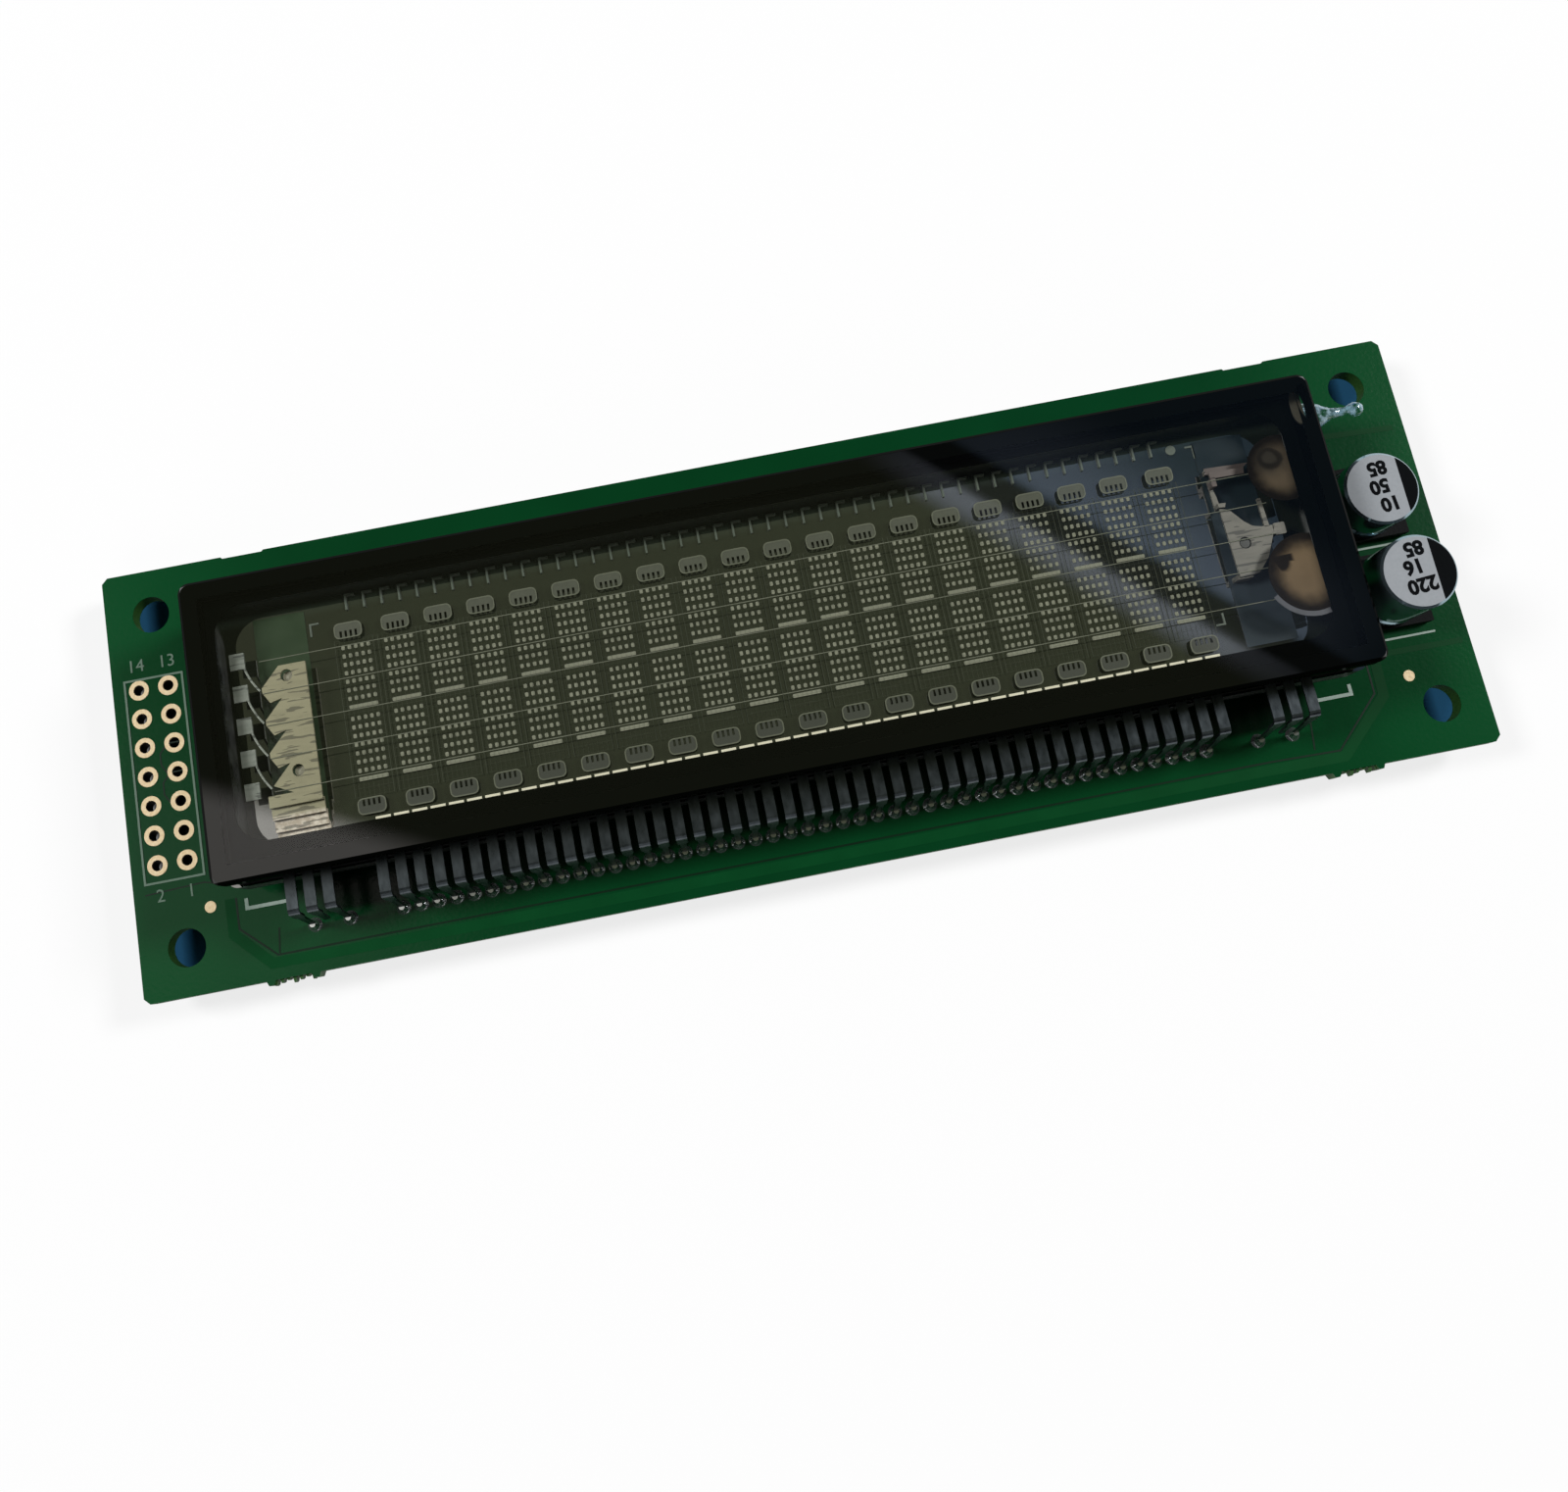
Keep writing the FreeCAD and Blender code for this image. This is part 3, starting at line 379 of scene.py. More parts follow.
def grained(name, grain, dark, light, roughness, specular=0.5, metallic=0.0, wear=0.0, relief=0.0,
            detail=3.0, stretch=(1, 1, 1)):
    """Two tones in a grain of this many mm; wear adds to the roughness, relief raises it in mm."""
    finish = Finish(name)
    tone = finish.noise(grain, detail, stretch)
    finish.set(Base_Color=tone.blend(dark, light), Specular_IOR_Level=specular, Metallic=metallic,
               Roughness=tone * wear + roughness if wear else roughness)
    return finish.bump(tone, relief) if relief else finish


print("mid grey is", [round(c, 3) for c in rgb(128, 128, 128)])


# %% [markdown]
# ## Camera and light
#
# The photograph was taken by hand, close to the module and nearly from above. A camera fitted to
# the board's corners, its holes and the characters gives the place, the turn and the lens below.
# The frame's centre lies off the lens axis because the picture was cropped, so the lens shifts.

# %% Camera
camera_data = bpy.data.cameras.new("camera")
camera_data.lens = 33.958
camera_data.sensor_width = 36
camera_data.shift_x = 0.04623
camera_data.shift_y = -0.08765
camera_data.clip_start = 0.005
camera = bpy.data.objects.new("camera", camera_data)
camera.location = (-8.907 * MM, -23.055 * MM, 125.797 * MM)
camera.rotation_euler = [math.radians(a) for a in (12.87789, 0.97931, -10.84270)]
bpy.context.scene.collection.objects.link(camera)
bpy.context.scene.camera = camera
bpy.context.scene.view_settings.view_transform = "Standard"
print("camera at", [round(v / MM, 1) for v in camera.location], "mm, lens", round(camera_data.lens, 1), "mm")


# %% [markdown]
# Two soft lamps stand at the sides, where the glass doesn't mirror them into the camera, and a weak
# one in front lifts the shadows between the leads.

# %% Lamps
def lamp(name, place, size, power):
    """A square soft light that faces the module."""
    data = bpy.data.lights.new(name, "AREA")
    data.size = size
    data.energy = power
    light = bpy.data.objects.new(name, data)
    light.location = place
    light.rotation_euler = (-Vector(place)).to_track_quat("-Z", "Y").to_euler()
    bpy.context.scene.collection.objects.link(light)
    print(f"{name}: {power} W at {place} m")


lamp("left_softbox", (-0.68, 0.22, 0.75), 0.25, 7.0)
lamp("right_softbox", (0.78, 0.22, 0.75), 0.25, 8.2)
lamp("front_softbox", (-0.1, -0.7, 0.6), 0.5, 0.7)

# %% [markdown]
# The camera sees a white world, so that low views have a white background too. Mirrors see a dim
# one, because a white one would lie over the glass as a glare.

# %% World
DIM_SKY, WHITE_SKY = (0.03, 0.032, 0.034), (0.95, 0.95, 0.95)
world = bpy.data.worlds.new("studio")
world.use_nodes = True
sky = world.node_tree
direct = add_node(sky, "ShaderNodeLightPath", {}, {}, "Is Camera Ray")
connect(sky, direct.blend(DIM_SKY, WHITE_SKY), sky.nodes["Background"].inputs["Color"])
bpy.context.scene.world = world
print("world:", world.name)

# %% [markdown]
# The glass mirrors what hangs above it. In the photograph that is the corner of a pale wall at the
# lower left, and a bluish window with a dark edge at the right. Soft cards stand in for them, high
# over the module, where only reflections find them.

# %% Reflected cards
CARD_HEIGHT = 610
WINDOW_SLOPE, WALL_SLOPE = -42, -25.3
WINDOW_X = 200


def card(name, middle, length, width, turn, colour, edges):
    """A glowing card that only reflections see; edges are its fades at +y, -y, +x and -x in mm."""
    finish = Finish(name)
    room = (width / 2 - finish.y, width / 2 + finish.y, length / 2 - finish.x, length / 2 + finish.x)
    fade = 1.0
    for distance, edge in zip(room, edges):
        fade = distance.ramp(0.0, edge) * fade
    glow = finish.node("ShaderNodeEmission", Color=colour, Strength=1.0)
    clear = finish.node("ShaderNodeBsdfTransparent")
    finish.show(finish.mix(fade, clear, glow))
    mesh = bpy.data.meshes.new(name)
    corners = [(x * MM, y * MM, 0) for x, y in rectangle(0, 0, length, width)]
    mesh.from_pydata(corners, [], [(0, 3, 2, 1)])
    mesh.materials.append(finish.material)
    panel = bpy.data.objects.new(name, mesh)
    panel.location = Vector(middle) * MM
    panel.rotation_euler = (0, 0, math.radians(turn))
    bpy.context.scene.collection.objects.link(panel)
    for ray in ("camera", "diffuse", "transmission", "volume_scatter", "shadow"):
        setattr(panel, f"visible_{ray}", False)
    panel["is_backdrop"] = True
    print(f"{name}: {length} x {width} mm")


def beside(line_y, offset, lift):
    """A point this far above the window's slanting edge, which passes WINDOW_X at line_y."""
    angle = math.radians(WINDOW_SLOPE)
    return WINDOW_X - offset * math.sin(angle), line_y + offset * math.cos(angle), CARD_HEIGHT + lift


for name, place, length, width, colour, edges in (
        ("ceiling_card", (127, -250, 0), 1100, 500, (0.098, 0.106, 0.066), (5, 60, 60, 60)),
        ("frame_card", (119, 0, -1), 300, 22, (0.34, 0.37, 0.43), (5, 14, 90, 60)),
        ("window_card", (150, 100, 0), 420, 200, (0.05, 0.08, 0.115), (60, 6, 60, 60)),
        ("sill_card", (150, 30, -2), 330, 60, (0.2, 0.25, 0.34), (54, 6, 60, 160))):
    card(name, beside(*place), length, width, WINDOW_SLOPE, colour, edges)
card("wall_card", (-249.915, 29.714, CARD_HEIGHT - 3), 260, 140, WALL_SLOPE, (1.1, 1.06, 1.0),
     (16, 40, 70, 40))

# %% [markdown]
# The floor is white paper that keeps the module's shadow. Below the board it is grey, with a dark
# blue patch below each mounting hole, because the photograph shows blue through the holes. Masks
# mix plain shaders here, since the floor needs no more than flat colours.

# %% Floor
FLOOR_REACH, FLOOR_GLOW = 3.0, 0.8
SHADE_X, SHADE_Y = 57.0, 17.5
PATCH_X, PATCH_Y = 55.9, 15.3
paper = Finish("paper")
away = (paper.x.size() - SHADE_X).larger(paper.y.size() - SHADE_Y).ramp(0.0, 1.0)
off_patch = ((paper.x.size() - PATCH_X) ** 2.0 + (paper.y.size() - PATCH_Y) ** 2.0).ramp(7.0, 10.0)
# The dark grey floor below the board is painted shade, deepening the board's shadow.
blue, grey, pale = (paper.node("ShaderNodeBsdfDiffuse", Color=colour)
                    for colour in ((0.02, 0.09, 0.18), (0.1, 0.1, 0.1), (0.95, 0.95, 0.95)))
lit = paper.mix(away, paper.mix(off_patch, blue, grey), pale)
white = paper.node("ShaderNodeEmission", Color=(1, 1, 1), Strength=1.0)
seen, *mirrored = (paper.node("ShaderNodeLightPath", out=name)
                   for name in ("Is Camera Ray", "Is Glossy Ray", "Is Transmission Ray"))
for ray in mirrored:
    seen = seen.larger(ray)
paper.show(paper.mix(seen * away * FLOOR_GLOW, lit, white))
floor_mesh = bpy.data.meshes.new("floor")
floor_mesh.from_pydata([(x, y, cad_box[0][2]) for x, y in rectangle(0, 0, 2 * FLOOR_REACH, 2 * FLOOR_REACH)],
                       [], [(0, 1, 2, 3)])
floor_mesh.materials.append(paper.material)
floor = bpy.data.objects.new("floor", floor_mesh)
bpy.context.scene.collection.objects.link(floor)
floor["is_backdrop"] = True
print("floor at", round(cad_box[0][2] / MM, 2), "mm")


# %% [markdown]
# ## The circuit board
#
# The board is glass fibre in epoxy, with copper tracks under a green lacquer called solder mask.
# The mask looks lighter over copper and darker over bare board. Noise with large clouds shifts its
# green a little, so that no part of it looks flat, and the cut sides show the fibres.

# %% Board
def paint(finish, *names):
    """Gives CAD nodes their material."""
    for name in names:
        for slot in nodes[name].material_slots:
            slot.material = finish.material
    print(f"{finish.material.name}: {', '.join(names)}")


board = Finish("solder_mask")
cloud = board.noise(9.0, 2.0)
weave = board.noise(0.35, 2.0)
# The green is painted lighter towards both ends and darker in the middle, as painted shade from the tube.
ends = (board.x.size() - 38.0).ramp(0.0, 22.0)
green = (ends * 0.5).blend(cloud.blend(rgb(3, 50, 23), rgb(5, 64, 31)), rgb(13, 80, 41))
# A dark band along the lower leads, fading before the board's ends, is painted shade under the tube and its
# leads.
under_leads = 1 - ((board.y + 12.0).size() - 1.6).ramp(0.0, 0.7)
shade_under_leads = under_leads * (1 - (board.x.size() - 41.5).ramp(0.0, 2.0))
green = (shade_under_leads * 0.85).blend(green, rgb(1, 9, 4))
cut_side = 1 - (board.z + 0.8).size().ramp(0.72, 0.79)
fibre = weave.blend(rgb(28, 62, 26), rgb(52, 88, 40))
board.set(Base_Color=cut_side.blend(green, fibre), Roughness=cut_side * 0.4 + weave * 0.05 + 0.15,
          Specular_IOR_Level=0.15)
board.bump(weave * 0.6 + cloud, 0.015)
paint(board, "circuit_board")

ink = Finish("white_ink")
thin_ink = 1 - ink.x.ramp(-51.0, -46.0)
ink_colour = ink.noise(0.3).blend(rgb(138, 160, 146), rgb(178, 196, 184))
ink.set(Base_Color=(thin_ink * 0.75).blend(ink_colour, rgb(62, 104, 74)), Roughness=0.55)
paint(ink, "board_print")

# %% [markdown]
# Round each plug hole lies a ring of copper, plated with gold or tin. The plating runs down through
# the hole as a thin barrel, so one profile turned about the hole's axis makes both rings and the
# barrel, where separate rings would leave the hole's wall bare.

# %% Plug rings and alignment dots
gold = Finish("plated_copper")
wear = gold.noise(0.25)
plating = wear.blend(rgb(214, 178, 120), rgb(248, 232, 196))
# Below the board's face the barrel is painted dark brown, as painted shade inside the hole.
gold.set(Base_Color=gold.z.ramp(-0.25, -0.02).blend(rgb(30, 22, 12), plating), Metallic=0.2,
         Roughness=wear * 0.2 + 0.35)
gold.bump(wear, 0.01)

PLUG_X, PLUG_Y, PLUG_PITCH, PLUG_ROWS = -54.45, 0.33, 2.54, 7
BARREL = ((0.47, -1.64), (0.88, -1.64), (0.88, -1.6), (0.5, -1.6),
          (0.5, 0.0), (0.88, 0.0), (0.86, 0.04), (0.47, 0.04))
DOT = ((0.001, 0.0), (0.5, 0.0), (0.48, 0.04), (0.001, 0.04))
rings = Shape()
for column in (0, 1):
    for row in range(PLUG_ROWS):
        x = PLUG_X + (column - 0.5) * PLUG_PITCH
        y = PLUG_Y + (row - (PLUG_ROWS - 1) / 2) * PLUG_PITCH
        rings.turned(BARREL, (x, y, 0), sides=32, closed=True)
for x, y in ((-51.68, -11.55), (51.92, -11.67)):
    rings.turned(DOT, (x, y, 0))
rings.make("plug_rings", gold, "board", smooth=True)

# %% [markdown]
# Wide copper bands and the narrow gaps between copper areas show through the mask as lighter and
# darker green. They stand a hundredth of a millimetre or two proud, so each is a thin ribbon along
# its path. Torn fibres are left where the board was broken from its panel.

# %% Copper under the mask
copper = grained("mask_over_copper", 3.0, rgb(4, 56, 25), rgb(8, 69, 33), 0.4, 0.05)
gap = grained("mask_in_gap", 2.0, rgb(2, 26, 11), rgb(3, 36, 16), 0.4, 0.15)
BAND_TOP, GAP_TOP = 0.015, 0.02
bands = Shape()
for width, path in (
        (0.9, [(-50.0, -11.2), (-50.0, -14.2), (-47.1, -17.1), (-34, -17.25), (0, -17.3),
               (36.8, -17.25), (44.7, -17.3), (49.3, -12.9), (49.5, -8.9), (50.4, -8.9)]),
        (0.5, [(47.5, 12.2), (49.0, 10.6), (57.0, 10.2)]),
        (0.5, [(47.5, -7.6), (49.2, -9.4), (57.3, -9.5)])):
    bands.ribbon(path, width, 0.0, BAND_TOP)
bands.make("copper_bands", copper, "board")

gap_paths = [
    (0.16, [(-49.5, -11.2), (-49.5, -13.8), (-46.55, -16.5), (-34.2, -16.5), (0, -16.6),
            (38.4, -16.6), (44.4, -16.75), (48.6, -12.6), (48.65, -9.4)]),
    (0.14, [(-46.2, -14.3), (-46.4, -16.4)]),
    (0.14, [(42.6, -13.8), (42.3, -16.3)])]
for row in (-1, 1):
    y = PLUG_Y + row * PLUG_PITCH / 2
    gap_paths.append((0.12, [(-53.9, y - 1.5), (-54.5, y - 0.5), (-54.5, y + 0.5), (-53.8, y + 1.3),
                             (-52.2, y + 1.3)]))
gap_paths.append((0.12, [(-57.0, -9.6), (-52.0, -9.4), (-50.2, -9.9)]))
gaps = Shape()
for width, path in gap_paths:
    gaps.ribbon(path, width, 0.0, GAP_TOP)
gaps.make("mask_gaps", gap, "board")

# %% Torn fibres
TEAR_Y, TEAR_LOW, TEAR_HIGH = -18.5, -1.2, -0.25
TUFTS, TUFT_PITCH = 7, 0.53
for name, side, first_x in (("torn_edge_left", -1, -47.1), ("torn_edge_right", 1, 43.9)):
    fibres = Shape()
    for tuft in range(TUFTS):
        x = first_x + tuft * TUFT_PITCH
        reach = 0.2 + 0.14 * ((tuft * 5 + side) % 3)
        fibres.plate([(x - 0.16, TEAR_Y), (x - 0.05, TEAR_Y - reach), (x + 0.08, TEAR_Y - reach * 0.8),
                      (x + 0.18, TEAR_Y)], TEAR_LOW, TEAR_HIGH)
    fibres.make(name, board, "board")

# %% [markdown]
# ## The glass tube
#
# A flat tube like this is a glass plate with printed anodes, a thin wall round it and a front
# glass, all sealed with melted glass and pumped empty. The front glass is printed black on the
# inside, up to a window. Refracting glass is slow to render and full of noise, so this one is a mix
# of see-through and mirror, more mirror at a slant, which is all that thin glass shows.

# %% Glass
FACE_ON_MIRROR, GLASS_ROUGHNESS = 0.043, 0.02


def glass(name, tint, paint_colour, painted, ground=None):
    """Glass that mirrors on its outer faces, with black print or painted highlights where painted is 1."""
    finish = Finish(name)
    facing = finish.node("ShaderNodeLayerWeight", out="Facing", Blend=0.5)
    inner_face = finish.node("ShaderNodeNewGeometry", out="Backfacing")
    slant = (facing ** 5.0 * (1 - FACE_ON_MIRROR) + FACE_ON_MIRROR) * (1 - inner_face)
    if ground is not None:
        slant = slant * (1 - ground(finish) * 0.9)
    through = finish.node("ShaderNodeBsdfTransparent", Color=tint)
    paint = finish.node("ShaderNodeBsdfDiffuse", Color=paint_colour)
    mirror = finish.node("ShaderNodeBsdfGlossy", Color=(1, 1, 1), Roughness=GLASS_ROUGHNESS)
    finish.show(finish.mix(slant, finish.mix(painted(finish), through, paint), mirror))
    return finish


# %% Front glass
TUBE_X, TUBE_Y, TUBE_LENGTH, TUBE_WIDTH = -1.0, 1.3, 94.4, 24.6
PRINTED_RIM, GROUND_EDGE = 1.5, 0.27
ROOT_X, ROOT_Y = 45.35, 11.2


def within(finish, margin):
    """1 on the part of the front glass that lies closer to its outline than this margin."""
    along = ((finish.x - TUBE_X).size() - (TUBE_LENGTH / 2 - margin)).above(0.0)
    across = ((finish.y - TUBE_Y).size() - (TUBE_WIDTH / 2 - margin)).above(0.0)
    return along.larger(across)


def tip_root(finish):
    """1 on the small oval by the corner where the exhaust tip's root shows through."""
    oval = ((finish.x - ROOT_X) / 0.62) ** 2.0 + ((finish.y - ROOT_Y) / 1.55) ** 2.0
    return 1 - oval.ramp(0.7, 1.1)


cover = glass("front_glass", (0.985, 0.99, 0.985), rgb(3, 4, 3),
              painted=lambda finish: within(finish, PRINTED_RIM) * (1 - tip_root(finish)),
              ground=lambda finish: within(finish, GROUND_EDGE))
paint(cover, "cover_glass")

# %% [markdown]
# The wall and the seal are glass that melted and set dark and uneven, and black foam tape holds the
# tube off the board. Noise gives the melt its waves, and a cell texture gives the foam its pores.

# %% Border, walls and foam
PORE = 0.35
paint(grained("black_print", 4.0, rgb(2, 3, 2), rgb(4, 5, 4), 0.7, 0.0), "black_border")

walls = Finish("sealed_wall")
melt = walls.noise(1.5)
wall_colour = melt.blend(rgb(9, 11, 10), rgb(22, 25, 23))
walls.set(Base_Color=tip_root(walls).blend(wall_colour, rgb(84, 80, 68)), Roughness=melt * 0.2 + 0.2)
walls.bump(melt, 0.05)
paint(walls, "glass_walls", "glass_seal")

foam = Finish("foam_tape")
pores = foam.node("ShaderNodeTexVoronoi", Vector=foam.place * (1 / PORE), Scale=1.0)
foam.set(Base_Color=pores.blend(rgb(12, 12, 12), rgb(34, 34, 34)), Roughness=0.95)
foam.bump(pores, 0.1)
paint(foam, "foam_strips")

# %% [markdown]
# The glass plate is printed olive grey, and its upper face shines: it mirrors the cards a second
# time, under the front glass, which makes the haze of the photograph. A coat with a high index
# gives that mirror. It lies on the upper face alone, so that the plate's sides stay dull.

# %% Printed glass plate
substrate = Finish("printed_glass")
speck = substrate.noise(0.6, 2.0)
haze = substrate.noise(14.0, 2.0)
inside = 1 - ((substrate.y - TUBE_Y).size() - 11.8).above(0.0)
olive = (speck * 0.2).blend(haze.blend(rgb(20, 24, 15), rgb(25, 29, 19)), rgb(40, 43, 32))
# A strip along the plate's top edge is painted lighter, as painted light where the black border shades the
# plate and blocks its reflection.
olive = substrate.y.ramp(10.0, 10.9).blend(olive, rgb(45, 53, 43))
face_up = substrate.z.above(5.6)
substrate.set(Base_Color=inside.blend(rgb(14, 17, 15), olive), Roughness=(1 - face_up) * 0.4 + 0.02,
              IOR=1.5, Coat_Weight=face_up, Coat_IOR=2.6, Coat_Roughness=0.025)
paint(substrate, "glass_substrate")

# %% [markdown]
# ## Dots, bars, grids and wires
#
# Each character is five by seven dots of phosphor powder, printed on the glass plate, with a bar
# below for a cursor. A texture could draw them, but real dots have an edge that catches light, so
# each is a small plate.

# %% Phosphor
phosphor = grained("phosphor", 0.12, rgb(118, 119, 101), rgb(144, 145, 125), 0.85, relief=0.01, detail=2.0)
COLUMNS, FIRST_X, COLUMN_PITCH = 20, -35.4, 3.6
ROW_TOPS = (7.03, 0.98)
CHAR_WIDTH, CHAR_HEIGHT = 2.4, 4.7
DOTS_ACROSS, DOTS_DOWN = 5, 7
DOT_WIDTH, DOT_HEIGHT = 0.28, 0.35
BAR_HEIGHT, BAR_DROP = 0.32, 5.23
CORNER_RADIUS, PRINT_THICK, FACE = 0.06, 0.08, 5.7
PRINT_TOP = FACE + PRINT_THICK
column_x = [FIRST_X + COLUMN_PITCH * column for column in range(COLUMNS)]
dots, bars = Shape(), Shape()
for x in column_x:
    for top in ROW_TOPS:
        for across in range(DOTS_ACROSS):
            for down in range(DOTS_DOWN):
                dot_x = x + (across / (DOTS_ACROSS - 1) - 0.5) * (CHAR_WIDTH - DOT_WIDTH)
                dot_y = top - DOT_HEIGHT / 2 - down * (CHAR_HEIGHT - DOT_HEIGHT) / (DOTS_DOWN - 1)
                dots.plate(rounded(dot_x, dot_y, DOT_WIDTH, DOT_HEIGHT, CORNER_RADIUS, 1), FACE, PRINT_TOP)
        bars.plate(rounded(x, top - BAR_DROP, CHAR_WIDTH, BAR_HEIGHT, CORNER_RADIUS, 1), FACE, PRINT_TOP)
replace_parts(dots.make("character_dots", phosphor, "anode_field"), "character_fields")
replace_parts(bars.make("cursor_marks", phosphor, "phosphor"), "cursor_bars")

# %% [markdown]
# A grid of etched metal spans the two characters of a column, half a millimetre above them. Its
# wires are finer than a pixel of the photograph, so some of them are enough: stout ones at the two
# edges and a few fine ones between. The grid's feet end in comb-shaped pads with a bright rim.

# %% Grid finishes
mesh_metal = grained("etched_mesh", 0.6, rgb(52, 56, 43), rgb(60, 64, 51), 0.6, 0.2)
rim_metal = grained("grid_pad_rim", 0.3, rgb(80, 83, 66), rgb(104, 107, 88), 0.5)
pad_metal = Finish("grid_pad")
upper_pad = pad_metal.noise(0.4).blend(rgb(62, 65, 51), rgb(76, 79, 63))
pad_metal.set(Base_Color=pad_metal.y.ramp(-3.0, 3.0).blend(rgb(52, 55, 43), upper_pad), Roughness=0.6)
print("grid finishes:", mesh_metal.material.name, pad_metal.material.name, rim_metal.material.name)

# %% Grids
GRID_LOW, GRID_HIGH, MESH_HIGH = FACE + 0.5, FACE + 0.56, FACE + 0.515
GRID_Y, GRID_WIDTH, GRID_LENGTH = 0.82, 3.2, 13.2
LONG_PITCH, CROSS_FIRST, CROSS_PITCH, CROSS_WIRES = 0.4, -5.74, 0.69, 20
FINE, STOUT = 0.012, 0.04
PAD_LENGTH, PAD_WIDTH, PAD_RIM = 2.33, 1.35, 0.1
PAD_UPPER, PAD_LOWER, END_SHIFT = 8.19, -6.55, 0.35
SLOTS, SLOT_PITCH, SLOT_HALF, SLOT_DEPTH = 4, 0.42, 0.1, 0.55


def comb(pad_x, pad_y, inner):
    """Outline of a pad with slots in the edge that faces the grid."""
    far = pad_y - inner * (PAD_WIDTH / 2 - PAD_RIM)
    near = pad_y + inner * (PAD_WIDTH / 2 - PAD_RIM)
    half = PAD_LENGTH / 2 - 0.12
    points = [(pad_x - half, near)]
    for tooth in range(SLOTS):
        slot_x = pad_x + (tooth - (SLOTS - 1) / 2) * SLOT_PITCH
        points += [(slot_x + side * SLOT_HALF, y) for side, y in
                   ((-1, near), (-1, near - inner * SLOT_DEPTH), (1, near - inner * SLOT_DEPTH), (1, near))]
    return points + [(pad_x + half, near), (pad_x + half, far), (pad_x - half, far)]


grids, pads, pad_rims = Shape(), Shape(), Shape()
for number, x in enumerate(column_x):
    for wire in range(-4, 5):
        wire_width = STOUT if abs(wire) == 4 else FINE
        grids.plate(rectangle(x + wire * LONG_PITCH, GRID_Y, wire_width, GRID_LENGTH), GRID_LOW, MESH_HIGH)
    for wire in range(CROSS_WIRES):
        grids.plate(rectangle(x, CROSS_FIRST + wire * CROSS_PITCH, GRID_WIDTH, FINE), GRID_LOW, MESH_HIGH)
    pad_x = x + END_SHIFT * ((number == COLUMNS - 1) - (number == 0))
    for pad_y, inner in ((PAD_UPPER, -1), (PAD_LOWER, 1)):
        pad_rims.hollow_plate(rounded(pad_x, pad_y, PAD_LENGTH, PAD_WIDTH, 0.45),
                              rounded(pad_x, pad_y, PAD_LENGTH - 2 * PAD_RIM, PAD_WIDTH - 2 * PAD_RIM, 0.36),
                              GRID_LOW, GRID_HIGH + 0.02)
        pads.plate(comb(pad_x, pad_y, inner), GRID_LOW, GRID_HIGH)
        pads.plate(rectangle(pad_x, pad_y - inner * 0.45, 1.6, 0.3), FACE, GRID_LOW)
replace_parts(grids.make("grid_mesh", mesh_metal, "grid"), "control_grids")
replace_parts(pads.make("grid_pads", pad_metal, "grid"), "control_grids")
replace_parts(pad_rims.make("grid_pad_rims", rim_metal, "grid"), "control_grids")

# %% [markdown]
# Five heater wires run over all of it, thinner than a hair and coated with white oxide. Each is a
# turned cylinder along x. A curve with a bevel would do as well, but needs converting to a mesh.

# %% Heater wires
oxide = grained("oxide_wire", 0.5, rgb(100, 102, 86), rgb(128, 130, 112), 0.6, stretch=(0.2, 1, 1))
WIRES, WIRE_LOW, WIRE_PITCH, WIRE_HEIGHT, WIRE_RADIUS = 5, -4.2, 2.7, 7.5, 0.035
wires = Shape()
for wire in range(WIRES):
    wires.turned([(WIRE_RADIUS, x) for x in (-43.0, -20.0, 0.0, 20.0, 41.0)],
                 (0, WIRE_LOW + WIRE_PITCH * wire, WIRE_HEIGHT), axis="x", sides=8)
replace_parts(wires.make("heater_wires", oxide, "wire", smooth=True), "filaments")

# %% [markdown]
# The plate's own conductors end in bright bars above the leads and in faint hooks along the upper
# edge. Both repeat at the pitch of the leads. A dot and three corner marks helped the printer.

# %% Printed lead-ins and marks on the glass plate
bright = grained("lead_in_metal", 0.5, rgb(214, 208, 180), rgb(240, 234, 208), 0.45)
faint = grained("printed_track", 0.4, rgb(74, 82, 72), rgb(100, 108, 96), 0.35)
LEADS, LEAD_PITCH, LEAD_FIRST = 47, 1.5, -35.7
lead_places = [LEAD_FIRST + lead * LEAD_PITCH for lead in range(LEADS)]
lead_ins, tracks = Shape(), Shape()
for x in lead_places:
    lead_ins.plate(rectangle(x + 0.6, -7.58, 1.22, 0.22), FACE, FACE + 0.1)
    tracks.plate([(x - 0.08, 10.0), (x + 0.08, 10.0), (x + 0.08, 11.2), (x + 0.75, 11.2),
                  (x + 0.75, 11.36), (x - 0.08, 11.36)], FACE, FACE + 0.25)
tracks.plate(circle(35.06, 10.33, 0.42), FACE, PRINT_TOP)
for corner in (((36.3, 10.4), (37.0, 10.4), (37.0, 9.25), (36.85, 9.25), (36.85, 10.25), (36.3, 10.25)),
               ((34.9, -5.2), (35.7, -5.2), (35.7, -4.2), (35.55, -4.2), (35.55, -5.05), (34.9, -5.05)),
               ((-39.0, 9.4), (-38.2, 9.4), (-38.2, 9.25), (-38.85, 9.25), (-38.85, 8.3), (-39.0, 8.3))):
    tracks.plate(corner, FACE, PRINT_TOP)
lead_ins.make("lower_lead_ins", bright, "anode_field")
tracks.make("printed_tracks", faint, "anode_field")


# %% [markdown]
# ## Metalwork inside the tube
#
# The parts at both ends are stamped from nickel alloy sheet. They are dull and warm, with faint
# roll marks, stains, and cracks in the dark film that covers them. One function makes the finish,
# and each part gives it its own two tones.

# %% Sheet metal
FOOT_LOW, FOOT_HIGH = -6.5, -5.9


